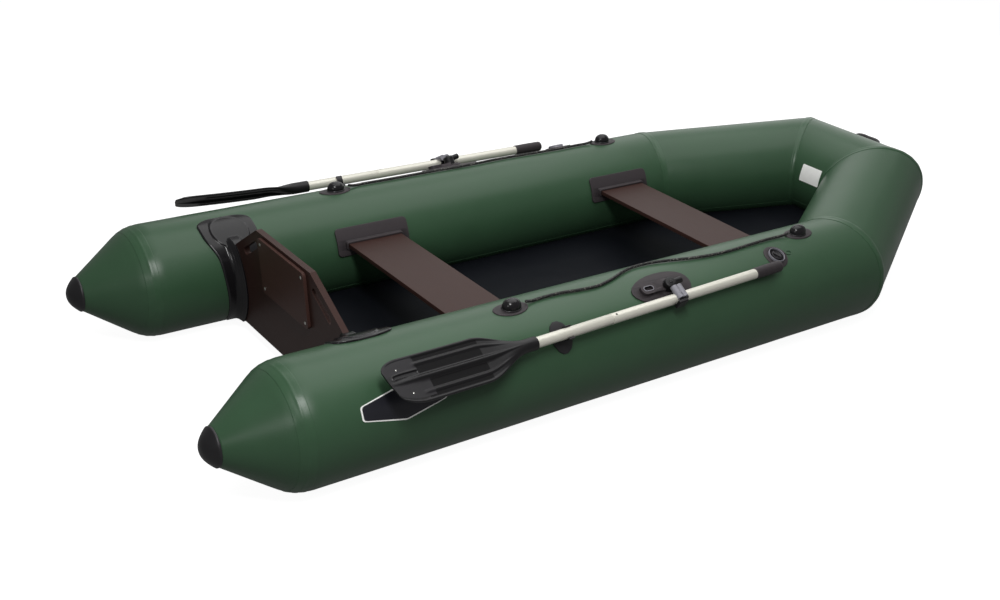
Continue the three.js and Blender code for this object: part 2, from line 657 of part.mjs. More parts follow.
// patch on the tube's inner side with a socket round the plank's end
function thwartHolder(name) {
  const x = station(THWART_STATIONS[name]);
  const level = Math.acos((THWART_MIDDLE - TUBE_R) / TUBE_R); // of the plank on the tube's inner side
  const middle = THREE.MathUtils.radToDeg(SOCKET_PATCH_RISE / TUBE_R - level);
  const outline = roundedRectangle(SOCKET_WIDTH, SOCKET_PATCH_HEIGHT, SOCKET_CORNER);
  const patch = tubePatch(outline, THWART_STATIONS[name], middle, SOCKET_PATCH_THICKNESS, 2);
  const depth = SOCKET_DEPTH + TUBE_R / 3;
  const tall = THWART_THICKNESS + 2 * (SOCKET_LIP + SOCKET_CLEARANCE);
  const wide = THWART_WIDTH + 2 * (SOCKET_LIP + SOCKET_CLEARANCE);
  const face = -THWART_LENGTH / 2 + SOCKET_DEPTH;
  const block = prism(roundedRectangle(wide, tall, 7), 0, depth, 2);
  const lie = basis(vec(1, 0, 0), vec(0, 0, 1), vec(0, -1, 0), vec(x, face, THWART_MIDDLE));
  const hollow = new THREE.BoxGeometry(
    THWART_WIDTH + 2 * SOCKET_CLEARANCE, THWART_LENGTH, THWART_THICKNESS + 2 * SOCKET_CLEARANCE,
  );
  hollow.translate(x, -SOCKET_CLEARANCE, THWART_MIDDLE);
  return geometryOf(patch.add(solid(block, lie)).subtract(SIDE_SEAT).subtract(solid(hollow)));
}

// ---------- oar ----------
const OAR_ALONG = vec(1, 0, 0)
  .addScaledVector(vec(0, 1, 0), Math.tan(rad(OAR_TOE_IN)))
  .addScaledVector(vec(0, 0, 1), Math.tan(rad(OAR_PITCH)))
  .normalize();
const OAR_MIDDLE = onTube(OARLOCK_STATION, OAR_ANGLE, TUBE_R + OAR_STANDOFF);

function onOar(distance) {
  return OAR_MIDDLE.clone().addScaledVector(OAR_ALONG, (distance - OARLOCK_STATION) / OAR_ALONG.x);
}

// frame on the oar: x forward along the shaft, z out of the blade's upper face
function oarFrame(distance, roll = BLADE_ROLL) {
  const across = vec(0, Math.cos(rad(roll)), Math.sin(rad(roll)));
  const face = OAR_ALONG.clone().cross(across).normalize();
  return basis(OAR_ALONG, face.clone().cross(OAR_ALONG), face, onOar(distance));
}

function shaft(from, to) {
  return rod(onOar(from + FIT_GAP / 2), onOar(to - FIT_GAP / 2), SHAFT_R, 24);
}

// half width of the blade at a share of its length, from the tip (0) to the socket's mouth (1)
function bladeHalfWidth(share) {
  const half = BLADE_WIDTH / 2;
  const neck = SHAFT_R + BLADE_SOCKET_WALL;
  if (share < BLADE_TIP_RUN) {
    return half * (0.42 + 0.58 * Math.sqrt(1 - (1 - share / BLADE_TIP_RUN) ** 2));
  }
  const run = THREE.MathUtils.clamp((share - BLADE_FLARE_FROM) / (BLADE_FLARE_TO - BLADE_FLARE_FROM), 0, 1);
  const ease = run * run * (3 - 2 * run);
  return half + (neck - half) * ease;
}

// upper and lower surface of the blade at a share of its length and of its half width
function bladeSurface(share, across) {
  const neck = SHAFT_R + BLADE_SOCKET_WALL;
  const run = THREE.MathUtils.clamp((share - 0.66) / 0.24, 0, 1);
  const round = run * run * (3 - 2 * run);
  const spineFade = Math.min(1, share / 0.12);
  const spine = BLADE_SPINE_HEIGHT * spineFade * Math.max(0, 1 - (across / BLADE_SPINE_HALF) ** 2);
  const ribFade = THREE.MathUtils.clamp((share - 0.1) / 0.1, 0, 1) * (1 - run);
  const offRib = (Math.abs(across) - BLADE_RIB_PLACE) / BLADE_RIB_HALF;
  const rib = BLADE_RIB_HEIGHT * ribFade * Math.max(0, 1 - offRib ** 2);
  const flat = (BLADE_THICKNESS / 2) * Math.sqrt(Math.max(0.02, 1 - Math.abs(across) ** 8));
  const tube = neck * Math.sqrt(Math.max(0, 1 - across * across));
  const upper = (flat + spine + rib) * (1 - round) + tube * round;
  const lower = (flat + spine * 0.8) * (1 - round) + tube * round;
  return [upper, -lower];
}

function bladeRing(share) {
  const half = bladeHalfWidth(share);
  const steps = 12;
  const length = BLADE_NECK_STATION - OAR_TIP_STATION;
  const along = share * length;
  const lift = BLADE_LIFT * Math.max(0, 1 - share / 0.8) ** 1.5;
  const upper = [];
  const lower = [];
  for (let i = 0; i <= steps; i += 1) {
    const across = -Math.cos((Math.PI * i) / steps);
    const [high, low] = bladeSurface(share, across);
    upper.push(vec(along, half * across, high + lift));
    lower.unshift(vec(along, half * across, low + lift));
  }
  return upper.concat(lower.slice(1, -1));
}

function oarBlade() {
  const rings = [];
  for (const share of [0, 0.01, 0.03, 0.06, 0.1, 0.16, 0.22, 0.4, 0.58, 0.66, 0.71, 0.76, 0.81, 0.86, 0.9,
    1]) {
    rings.push(bladeRing(share));
  }
  const blade = solid(loft(rings), oarFrame(OAR_TIP_STATION));
  const bore = rod(onOar(BLADE_NECK_STATION - SOCKET_BORE_DEPTH), onOar(BLADE_NECK_STATION + 5),
    SHAFT_R + SLIP_GAP, 24);
  return geometryOf(blade.subtract(solid(bore)));
}

function oarGrip() {
  const length = GRIP_END_STATION - GRIP_START_STATION;
  const outer = SHAFT_R + SLIP_GAP + GRIP_WALL;
  const bore = SHAFT_R + SLIP_GAP;
  const profile = [
    [bore, 0], [outer - 1, 0], [outer, 2], [outer, length * 0.3], [outer + 0.8, length * 0.6],
    [outer + 0.4, length - 8], [outer - 2, length - 1.5], [outer - 5, length], [0, length],
    [0, length - GRIP_PLUG], [bore, length - GRIP_PLUG], [bore, 0],
  ];
  const lie = basis(OAR_ALONG.clone().cross(outward(OAR_ANGLE)).normalize(), outward(OAR_ANGLE), OAR_ALONG,
    onOar(GRIP_START_STATION));
  return turned(profile, 24).applyMatrix4(lie);
}

// ---------- oarlock ----------
const POST_AXIS = outward(SWING_TILT).multiplyScalar(Math.cos(rad(SWING_LEAN)))
  .addScaledVector(vec(-1, 0, 0), Math.sin(rad(SWING_LEAN)));
const PIN_AXIS = inboard(SWING_TILT).negate(); // from the post outboard to the oar
const PIN_POINT = OAR_MIDDLE.clone().addScaledVector(
  PIN_AXIS, -OAR_MIDDLE.clone().sub(onTube(OARLOCK_STATION, 0, 0)).dot(PIN_AXIS),
);
const PIN_RADIUS_OUT = OAR_MIDDLE.distanceTo(PIN_POINT); // post's axis to oar's axis
const PIN_HEIGHT = PIN_POINT.distanceTo(onTube(OARLOCK_STATION, SWING_TILT, TUBE_R));

// frame on the post: z up the post, x along the pin outboard, its origin where the pin's axis meets it
function postFrame() {
  return basis(PIN_AXIS, POST_AXIS.clone().cross(PIN_AXIS), POST_AXIS, PIN_POINT);
}

// egg outline, its point towards -x
function egg(length, width) {
  const [x, y] = [length / 2, width / 2];
  const widest = 0.145 * x;
  const shape = new THREE.Shape();
  shape.moveTo(-x, 0);
  shape.bezierCurveTo(-x, 0.46 * y, -0.49 * x, y, widest, y);
  shape.bezierCurveTo(0.69 * x, y, x, 0.64 * y, x, 0);
  shape.bezierCurveTo(x, -0.64 * y, 0.69 * x, -y, widest, -y);
  shape.bezierCurveTo(-0.49 * x, -y, -x, -0.46 * y, -x, 0);
  return shape;
}

function oarlockBase() {
  const outline = egg(LOCK_BASE_LENGTH, LOCK_BASE_WIDTH);
  const at = OARLOCK_STATION - LOCK_BASE_SETBACK;
  const patch = tubePatch(outline, at, LOCK_BASE_ANGLE, LOCK_BASE_THICKNESS, 6);
  const top = BOSS_HEIGHT - PIN_HEIGHT; // heights on the post count from the pin
  const foot = -PIN_HEIGHT - SINK;
  const seat = SWIVEL_DIAMETER / 2 + FIT_GAP;
  const boss = turned([
    [0, foot], [BOSS_DIAMETER / 2 + BOSS_FLARE, foot], [BOSS_DIAMETER / 2 + BOSS_FLARE, top - BOSS_HEIGHT + 2],
    [seat + BOSS_WALL + 1, top - 1], [seat + BOSS_WALL, top], [0, top],
  ]);
  const eyeFrame = tubeFrame(OARLOCK_STATION - LOCK_EYE_SETBACK, LOCK_BASE_ANGLE);
  const ridge = loft(LOCK_RIDGE.map(([x, footHalf, topHalf, height]) => [
    vec(x, -footHalf, -SINK), vec(x, footHalf, -SINK), vec(x, topHalf, height), vec(x, -topHalf, height),
  ]));
  const eye = prism(
    roundedRectangle(LOCK_EYE_LENGTH, LOCK_EYE_WIDTH, LOCK_EYE_WIDTH / 2 - 2), -SINK, LOCK_EYE_HEIGHT, 4,
  );
  const [long, wide] = [LOCK_EYE_LENGTH - 2 * LOCK_EYE_WALL, LOCK_EYE_WIDTH - 2 * LOCK_EYE_WALL];
  const hole = prism(roundedRectangle(long, wide, wide / 2 - 0.5), LOCK_BASE_THICKNESS + 1.5, SINK, 4);
  const well = solid(drum(seat, top, TUBE_R / 2), postFrame());
  const body = joined(patch, solid(boss, postFrame()), solid(ridge, eyeFrame), solid(eye, eyeFrame));
  return geometryOf(body.subtract(solid(hole, eyeFrame)).subtract(well).subtract(SIDE_SEAT));
}

function oarlockSwivel() {
  const [low, high] = [BOSS_HEIGHT - PIN_HEIGHT + FIT_GAP, SWIVEL_HEIGHT - PIN_HEIGHT];
  const [r, bolt] = [SWIVEL_DIAMETER / 2, SWIVEL_BOLT_DIAMETER / 2];
  const head = turned([
    [0, low], [r, low], [r, high - SWIVEL_CROWN], [r - SWIVEL_CROWN * 0.3, high - SWIVEL_CROWN * 0.3],
    [r - SWIVEL_CROWN, high], [bolt, high], [bolt, high + SWIVEL_BOLT_HEIGHT - 1],
    [bolt - 2, high + SWIVEL_BOLT_HEIGHT], [0, high + SWIVEL_BOLT_HEIGHT],
  ]);
  const pin = drum(PIN_DIAMETER / 2, 0, PIN_RADIUS_OUT - SHAFT_R - PIN_END_GAP, 16).applyMatrix4(turnToPin());
  const stub = drum(STUB_DIAMETER / 2, 0, STUB_REACH, 16).rotateX(-Math.PI / 2).translate(0, 0, STUB_RISE);
  return geometryOf(joined(solid(head, postFrame()), solid(pin), solid(stub, postFrame())));
}

// places a solid turned about +Z along the pin, its origin on the post's axis
function turnToPin() {
  return basis(OAR_ALONG.clone(), PIN_AXIS.clone().cross(OAR_ALONG), PIN_AXIS, PIN_POINT);
}

function oarCollar() {
  const ring = rod(onOar(OARLOCK_STATION - COLLAR_LENGTH / 2), onOar(OARLOCK_STATION + COLLAR_LENGTH / 2),
    COLLAR_DIAMETER / 2, 24);
  const near = SWIVEL_DIAMETER / 2 + 1;
  const barrel = (offset) => solid(drum(SLEEVE_DIAMETER / 2, near, PIN_RADIUS_OUT, 20)
    .translate(offset, 0, 0), turnToPin());
  const ear = new THREE.BoxGeometry(COLLAR_LENGTH, COLLAR_EAR_WIDTH, COLLAR_EAR_DEPTH)
    .translate(0, 0, PIN_RADIUS_OUT + COLLAR_DIAMETER / 2);
  const pinBore = drum(PIN_DIAMETER / 2 + PIN_CLEARANCE, near - 1, PIN_RADIUS_OUT, 16);
  const shaftBore = rod(onOar(OARLOCK_STATION - COLLAR_LENGTH), onOar(OARLOCK_STATION + COLLAR_LENGTH),
    SHAFT_R + SLIP_GAP, 24);
  const body = joined(solid(ring), barrel(0), barrel(-SLEEVE_PITCH), solid(ear, turnToPin()));
  return geometryOf(body.subtract(solid(pinBore, turnToPin())).subtract(solid(shaftBore)));
}

// ---------- oar clip ----------
function oarClip() {
  const axis = onOar(CLIP_STATION);
  const offset = axis.clone().sub(onTube(CLIP_STATION, 0, 0));
  const angle = THREE.MathUtils.radToDeg(Math.atan2(-offset.y, offset.z));
  const base = tubePatch(ellipse(CLIP_BASE_LENGTH, CLIP_BASE_WIDTH), CLIP_STATION, angle,
    CLIP_BASE_THICKNESS, 7);
  const inner = SHAFT_R + SLIP_GAP;
  const outer = inner + CLIP_WALL;
  const mouth = rad(CLIP_MOUTH / 2);
  const jaws = new THREE.Shape();
  jaws.absarc(0, 0, outer, Math.PI / 2 + mouth, Math.PI / 2 - mouth + 2 * Math.PI, false);
  jaws.absarc(0, 0, inner, Math.PI / 2 - mouth, Math.PI / 2 + mouth - 2 * Math.PI, true);
  const up = outward(angle);
  const across = up.clone().cross(OAR_ALONG).normalize();
  const lie = basis(across, OAR_ALONG.clone().cross(across), OAR_ALONG, axis);
  const grip = solid(prism(jaws, -CLIP_WIDTH / 2, CLIP_WIDTH / 2, 8), lie);
  const pedestal = new THREE.BoxGeometry(CLIP_PEDESTAL_LENGTH, CLIP_PEDESTAL_WIDTH, 2 * SINK)
    .translate(0, 0, -SINK - inner - 1);
  const stand = basis(OAR_ALONG, up.clone().cross(OAR_ALONG).normalize(), up, axis);
  const bore = rod(onOar(CLIP_STATION - CLIP_BASE_LENGTH), onOar(CLIP_STATION + CLIP_BASE_LENGTH), inner, 24);
  const body = joined(base, grip, solid(pedestal, stand)).subtract(solid(bore)).subtract(SIDE_SEAT);
  return geometryOf(body);
}

// ---------- lifelines ----------
function ropeHolder(distance, facing) {
  const base = tubePatch(
    ellipse(ROPE_HOLDER_LENGTH, ROPE_HOLDER_WIDTH), distance, ROPE_HOLDER_ANGLE, ROPE_HOLDER_BASE, 7,
  );
  const hood = new THREE.SphereGeometry(1, 16, 10).rotateX(Math.PI / 2);
  hood.scale(HOOD_LENGTH / 2, HOOD_WIDTH / 2, HOOD_HEIGHT);
  const face = HOOD_LENGTH / 2 - HOOD_SETBACK;
  const cut = new THREE.BoxGeometry(HOOD_LENGTH, HOOD_WIDTH * 2, HOOD_HEIGHT * 3);
  cut.translate(facing * (face + HOOD_LENGTH / 2), 0, HOOD_HEIGHT * 1.5 + ROPE_HOLDER_BASE);
  const seat = tubeFrame(distance, ROPE_HOLDER_ANGLE);
  const body = solid(hood, seat).subtract(solid(cut, seat)).add(base).subtract(SIDE_SEAT);
  return geometryOf(body);
}

// run of the rope on the tube, smoothed along and round the tube before it is bent round it
function lifelineCurve(points) {
  const { rear, front } = ROPE_HOLDER_STATIONS;
  const flat = new THREE.CatmullRomCurve3(
    points.map(([share, angle]) => vec(rear + share * (front - rear), TUBE_R * rad(angle), 0)),
  );
  const [start, end] = [flat.points[0], flat.points[points.length - 1]];
  const radius = SEAT_R + ROPE_DIAMETER / 2 + ROPE_CLEARANCE;
  const along = [];
  const steps = 64;
  const first = rear + HOOD_LENGTH / 2 - HOOD_SETBACK + FIT_GAP;
  const last = front - HOOD_LENGTH / 2 + HOOD_SETBACK - FIT_GAP;
  for (let i = 0; i <= steps; i += 1) {
    const point = flat.getPoint(i / steps);
    const angle = THREE.MathUtils.radToDeg(point.y / TUBE_R);
    const near = Math.min(point.x - start.x, end.x - point.x);
    const rise = ROPE_LIFT * Math.max(0, 1 - near / ROPE_LIFT_RUN) ** 2;
    along.push(onTube(THREE.MathUtils.clamp(point.x, first, last), angle, radius + rise));
  }
  return new THREE.CatmullRomCurve3(along);
}

function lifeline(points) {
  const section = new THREE.Shape().absarc(0, 0, ROPE_DIAMETER / 2, 0, 2 * Math.PI);
  const options = { steps: 40, curveSegments: 4, bevelEnabled: false, extrudePath: lifelineCurve(points) };
  return new THREE.ExtrudeGeometry(section, options);
}

// ---------- valve, handle, label, panel ----------
function valve() {
  const [rim, cap, top] = [VALVE_RIM_DIAMETER / 2, VALVE_CAP_DIAMETER / 2, VALVE_RIM_HEIGHT];
  const well = rim - VALVE_RIM_WALL;
  const body = solid(turned([
    [0, -SINK / 2], [rim, -SINK / 2], [rim, top - 1.5], [rim - 1.5, top], [well + 1, top],
    [well, top - 1], [well, VALVE_FLOOR], [cap, VALVE_FLOOR], [cap, top - 2], [cap - 2, top - 0.5],
    [0, top - 0.5],
  ]), tubeFrame(VALVE_STATION, VALVE_ANGLE));
  const outline = ellipse(VALVE_FLANGE_DIAMETER, VALVE_FLANGE_DIAMETER);
  const flange = tubePatch(outline, VALVE_STATION, VALVE_ANGLE, VALVE_FLANGE_THICKNESS, 8);
  return geometryOf(body.add(flange).subtract(SIDE_SEAT));
}

// frame on the front tube: x to port, y down the front, z outward
function frontFrame(angle) {
  const out = vec(Math.sin(rad(angle)), 0, Math.cos(rad(angle)));
  const origin = vec(BOW_X, 0, BOW_Z).addScaledVector(out, TUBE_R);
  return basis(vec(0, 1, 0), out.clone().cross(vec(0, 1, 0)), out, origin);
}

function bowHandle() {
  const half = HANDLE_SPAN / 2;
  const [sunk, knee] = [-HANDLE_PAD_THICKNESS * 1.5, HANDLE_HEIGHT * 0.55];
  const crown = HANDLE_HEIGHT - HANDLE_BAR / 2;
  const arch = new THREE.CatmullRomCurve3([
    vec(-half, 0, sunk), vec(-half * 0.93, 0, knee), vec(-half * 0.6, 0, crown), vec(0, 0, crown),
    vec(half * 0.6, 0, crown), vec(half * 0.93, 0, knee), vec(half, 0, sunk),
  ]);
  const section = new THREE.Shape().absellipse(0, 0, HANDLE_BAR / 2, HANDLE_BAR_WIDTH / 2, 0, 2 * Math.PI);
  const options = { steps: 14, curveSegments: 4, bevelEnabled: false, extrudePath: arch };
  const bar = solid(new THREE.ExtrudeGeometry(section, options), frontFrame(HANDLE_ANGLE));
  const feet = [-half, half].map((y) => {
    const foot = prism(ellipse(HANDLE_PAD, HANDLE_PAD * 0.9), -SINK, HANDLE_PAD_THICKNESS, 6);
    return solid(foot.translate(y, 0, 0), frontFrame(HANDLE_ANGLE));
  });
  return geometryOf(joined(bar, ...feet).subtract(FRONT_SEAT));
}

function bowLabel() {
  const ring = rod(FRONT_POINT, PORT_FRONT, SEAT_R + TRIM_THICKNESS, SEAT_SIDES);
  const cutter = prism(roundedRectangle(LABEL_WIDTH, LABEL_HEIGHT, 3), -TUBE_R / 4, TUBE_R / 4, 2);
  cutter.translate(LABEL_OFFSET, 0, 0);
  return geometryOf(solid(ring).intersect(solid(cutter, frontFrame(LABEL_ANGLE))).subtract(FRONT_SEAT));
}

function sidePanel() {
  const shape = roundedRectangle(PANEL_LENGTH, PANEL_WIDTH, PANEL_CORNER);
  return geometryOf(tubePatch(shape, PANEL_STATION, PANEL_ANGLE, TRIM_THICKNESS));
}

// ---------- assembly ----------
const boat = new THREE.Group();
boat.name = "inflatable_dinghy";

function addPiece(name, geometry, materialName) {
  const piece = closed(geometry);
  piece.computeVertexNormals();
  const mesh = new THREE.Mesh(piece, material(materialName));
  mesh.name = name;
  boat.add(mesh);
}

function addPair(name, geometry, materialName) {
  const piece = closed(geometry);
  addPiece(`${name}_starboard`, piece, materialName);
  addPiece(`${name}_port`, mirrored(piece), materialName);
}

function addHull() {
  addPair("stern_cone", sternCone(), "pvc_green");
  addPair("stern_cap", sternCap(), "moulded_black");
  addPair("side_tube", sideTube(), "pvc_green");
  addPair("bow_quarter", bowQuarter(), "pvc_green");
  addPiece("bow_front", bowFront(), "pvc_green");
  addPiece("floor_sheet", floorSheet(), "floor_fabric");
  addPair("valve", valve(), "moulded_black");
  addPiece("side_panel", sidePanel(), "moulded_black");
  addPiece("bow_handle", bowHandle(), "moulded_black");
  addPiece("bow_label", bowLabel(), "label_white");
}

function addTransom() {
  addPiece("transom_board", transomBoard(), "plywood");
  addPiece("transom_pad_outer", transomPad(1, OUTER_PAD_THICKNESS), "plywood");
  addPiece("transom_pad_inner", transomPad(-1, INNER_PAD_THICKNESS), "plywood");
  addPair("transom_holder", transomHolder(), "moulded_black");
}

function addThwarts() {
  for (const name of Object.keys(THWART_STATIONS)) {
    addPiece(`thwart_${name}`, thwart(name), "plywood");
    addPair(`thwart_holder_${name}`, thwartHolder(name), "moulded_grey");
  }
}

function addOars() {
  addPair("oarlock_base", oarlockBase(), "moulded_grey");
  addPair("oarlock_swivel", oarlockSwivel(), "moulded_black");
  addPair("oar_collar", oarCollar(), "moulded_grey");
  addPair("oar_blade", oarBlade(), "moulded_black");
  const rear = BLADE_NECK_STATION - SOCKET_BORE_DEPTH + 2;
  addPair("oar_shaft_rear", shaft(rear, SHAFT_JOINT_STATION), "aluminium");
  addPair("oar_shaft_front", shaft(SHAFT_JOINT_STATION, GRIP_END_STATION - GRIP_PLUG - FIT_GAP), "aluminium");
  addPair("oar_grip", oarGrip(), "moulded_grey");
  addPair("oar_clip", oarClip(), "moulded_black");
}

function addLifelines() {
  for (const [name, facing] of [["rear", 1], ["front", -1]]) {
    addPair(`rope_holder_${name}`, ropeHolder(ROPE_HOLDER_STATIONS[name], facing), "moulded_black");
  }
  addPiece("lifeline_starboard", lifeline(STARBOARD_LIFELINE), "rope");
  addPiece("lifeline_port", mirrored(closed(lifeline(PORT_LIFELINE))), "rope");
}

addHull();
addTransom();
addThwarts();
addOars();
addLifelines();

export default boat;
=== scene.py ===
import json
import math

import bmesh
import bpy
from mathutils import Matrix, Vector
from mathutils import noise as field


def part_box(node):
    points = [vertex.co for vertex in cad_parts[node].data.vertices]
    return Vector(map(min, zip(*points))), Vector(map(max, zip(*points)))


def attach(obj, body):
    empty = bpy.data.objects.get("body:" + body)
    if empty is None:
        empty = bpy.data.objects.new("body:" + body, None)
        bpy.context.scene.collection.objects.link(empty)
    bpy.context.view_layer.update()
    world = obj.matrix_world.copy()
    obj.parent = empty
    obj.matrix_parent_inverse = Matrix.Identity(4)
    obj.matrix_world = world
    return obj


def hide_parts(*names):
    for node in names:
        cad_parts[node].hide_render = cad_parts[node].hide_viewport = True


bl_info = {
    "name": "Inflatable Dinghy Finishes",
    "version": (1, 0, 0),
    "blender": (4, 5, 0),
    "location": "View3D > Sidebar > Dinghy",
    "description": "Coated-fabric hull, moulded fittings, oars and ropes of an open inflatable dinghy",
    "category": "Add Mesh",
}

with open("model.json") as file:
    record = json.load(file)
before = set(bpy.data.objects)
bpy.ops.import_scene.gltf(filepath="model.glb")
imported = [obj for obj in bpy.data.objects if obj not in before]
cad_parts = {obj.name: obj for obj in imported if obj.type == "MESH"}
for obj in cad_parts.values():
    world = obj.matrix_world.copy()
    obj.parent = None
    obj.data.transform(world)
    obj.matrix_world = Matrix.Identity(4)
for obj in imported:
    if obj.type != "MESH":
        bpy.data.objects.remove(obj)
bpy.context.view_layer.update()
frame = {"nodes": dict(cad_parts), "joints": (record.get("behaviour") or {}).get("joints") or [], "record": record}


def centre_of(node):
    low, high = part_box(node)
    return (low + high) / 2


# ---------- places taken from the frame, in metres ----------
SIDES = {"starboard": 1, "port": -1}  # pieces are made for starboard and mirrored for port
MOUNTS = {mount["name"]: Vector(mount["axis"]) for mount in frame["record"]["mounts"]}
TUBE_LOW, TUBE_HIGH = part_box("side_tube_starboard")
FRONT_LOW, FRONT_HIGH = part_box("bow_front")
QUARTER_LOW, QUARTER_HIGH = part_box("bow_quarter_starboard")
RADIUS = (TUBE_HIGH.z - TUBE_LOW.z) / 2
TUBE_Y = -(TUBE_LOW.y + TUBE_HIGH.y) / 2
CONE_X = TUBE_LOW.x
BEND = Vector(((TUBE_HIGH.x + QUARTER_LOW.x) / 2, -TUBE_Y, RADIUS))
FRONT = Vector((FRONT_HIGH.x - RADIUS, (QUARTER_HIGH.y + FRONT_LOW.y) / 2, (FRONT_LOW.z + FRONT_HIGH.z) / 2))
AROUND = 160  # points round a tube


def linear(code):
    """A colour of sRGB hex digits as linear red, green, blue and alpha."""
    values = [int(code[i : i + 2], 16) / 255 for i in (0, 2, 4)]
    return tuple(v / 12.92 if v <= 0.04045 else ((v + 0.055) / 1.055) ** 2.4 for v in values) + (1.0,)


# ---------- settings ----------
def colour(name, description, code):
    return bpy.props.FloatVectorProperty(
        name=name, description=description, subtype="COLOR", size=4, default=linear(code)
    )


def number(name, description, default, unit="LENGTH"):
    return bpy.props.FloatProperty(name=name, description=description, unit=unit, default=default)


class HullSettings(bpy.types.PropertyGroup):
    tube_colour: colour("Tube colour", "Colour of the coated fabric of the tubes", "345039")
    floor_colour: colour("Floor colour", "Colour of the coated fabric of the floor", "101217")
    tape_width: number("Tape width", "Width of the tape over a cone's seam; the bow's are narrower", 0.042)
    tape_thickness: number("Tape thickness", "Height of the seam tapes above the fabric", 0.0012)
    shoulder_radius: number("Shoulder radius", "Rounding between the side tube and its stern cone", 0.15)


class FittingSettings(bpy.types.PropertyGroup):
    dark_colour: colour("Black fittings", "Colour of the black mouldings", "19181A")
    grey_colour: colour("Grey fittings", "Colour of the soft grey mouldings glued to the tubes", "302C2E")
    wood_colour: colour("Plywood film", "Colour of the phenolic film on the boards", "3A2824")
    edge_rounding: number("Edge rounding", "Rounding of the boards' edges", 0.0016)


class OarSettings(bpy.types.PropertyGroup):
    shaft_colour: colour("Shaft colour", "Colour of the anodised shafts", "D6D4C8")
    blade_roll: number(
        "Blade roll", "Turn of the stowed blade's face from level", math.radians(36), "ROTATION"
    )
    rope_thickness: number("Rope thickness", "Diameter of the lifelines", 0.009)


class StageSettings(bpy.types.PropertyGroup):
    camera_place: bpy.props.FloatVectorProperty(
        name="Camera", description="Where the camera stands",
        subtype="XYZ", unit="LENGTH", size=3, default=(-2.4921, -2.9601, 1.8775),
    )
    camera_turn: bpy.props.FloatVectorProperty(
        name="Camera turn", description="Heading from +X, dip below the horizon and roll of the camera",
        subtype="EULER", size=3, default=tuple(math.radians(angle) for angle in (52.99, 25.82, 3.816)),
    )
    lens: number("Lens", "Focal length on a 36 mm sensor, in millimetres", 45.46, "CAMERA")
    key_power: number("Overhead light", "Power of the soft light above the boat", 88, "POWER")
    upper_power: number("Upper light", "Power of the narrow light above the stern", 60, "POWER")
    front_power: number("Front light", "Power of the small light beside the camera", 14, "POWER")
    backdrop_power: number("Backdrop light", "Power of the wide light behind the boat", 40, "POWER")


class DinghySettings(bpy.types.PropertyGroup):
    hull: bpy.props.PointerProperty(type=HullSettings)
    fittings: bpy.props.PointerProperty(type=FittingSettings)
    oars: bpy.props.PointerProperty(type=OarSettings)
    stage: bpy.props.PointerProperty(type=StageSettings)


# ---------- materials ----------
def connect(material, node, inputs):
    """Sets a node's inputs, or links them where the value is another node's output."""
    for name, value in inputs.items():
        if isinstance(value, bpy.types.NodeSocket):
            material.node_tree.links.new(value, node.inputs[name])
        else:
            node.inputs[name].default_value = value


def add_node(material, kind, inputs=None, **settings):
    """Adds a node with its settings, and sets or links its inputs by name or number."""
    node = material.node_tree.nodes.new(kind)
    for name, value in settings.items():
        setattr(node, name, value)
    connect(material, node, inputs or {})
    return node


def per_metre(millimetres):
    """Texture scale for a pattern that repeats at a real size."""
    return 1000 / millimetres


def darker(colour, share):
    return tuple(c * share for c in colour[:3]) + (1.0,)


def shader(name, **inputs):
    """A new material, its Principled shader with plain values set on it, and its place in space."""
    material = bpy.data.materials.new(name)
    material.use_nodes = True
    principled = material.node_tree.nodes["Principled BSDF"]
    for label, value in inputs.items():
        principled.inputs[label.replace("_", " ")].default_value = value
    return material, principled, add_node(material, "ShaderNodeTexCoord").outputs["Object"]


def clouded(material, principled, pattern, tones, roughness):
    """Lets colour and gloss drift together with a pattern, and returns the colour."""
    tint = add_node(
        material, "ShaderNodeMix", {0: pattern, 6: tones[0], 7: tones[1]}, data_type="RGBA"
    ).outputs[2]
    shine = add_node(
        material, "ShaderNodeMapRange", {"Value": pattern, "To Min": roughness[0], "To Max": roughness[1]}
    ).outputs["Result"]
    connect(material, principled, {"Base Color": tint, "Roughness": shine})
    return tint


def coated_fabric(name, colour, roughness=(0.31, 0.41), weave_mm=2.4, specular=0.3):
    """PVC-coated polyester, calendered: a soft broad shine, a faint weave and cloudy gloss."""
    material, principled, place = shader(name, Specular_IOR_Level=specular)
    cloud = add_node(
        material, "ShaderNodeTexNoise", {"Vector": place, "Scale": per_metre(90), "Detail": 2.0}
    ).outputs["Fac"]
    clouded(material, principled, cloud, (darker(colour, 0.93), darker(colour, 1.07)), roughness)
    # the real threads are 1 mm apart, which is too fine to show, so the weave is drawn coarser
    weave = add_node(
        material, "ShaderNodeTexVoronoi", {"Vector": place, "Scale": per_metre(weave_mm), "Randomness": 0.35}
    ).outputs["Distance"]
    grain = add_node(
        material, "ShaderNodeTexNoise", {"Vector": place, "Scale": per_metre(0.9), "Detail": 2.0}
    ).outputs["Fac"]
    relief = add_node(material, "ShaderNodeMath", {0: weave, 1: grain}, operation="ADD").outputs[0]
    bump = add_node(material, "ShaderNodeBump", {"Height": relief, "Distance": 0.00003}).outputs["Normal"]
    connect(material, principled, {"Normal": bump})
    return material


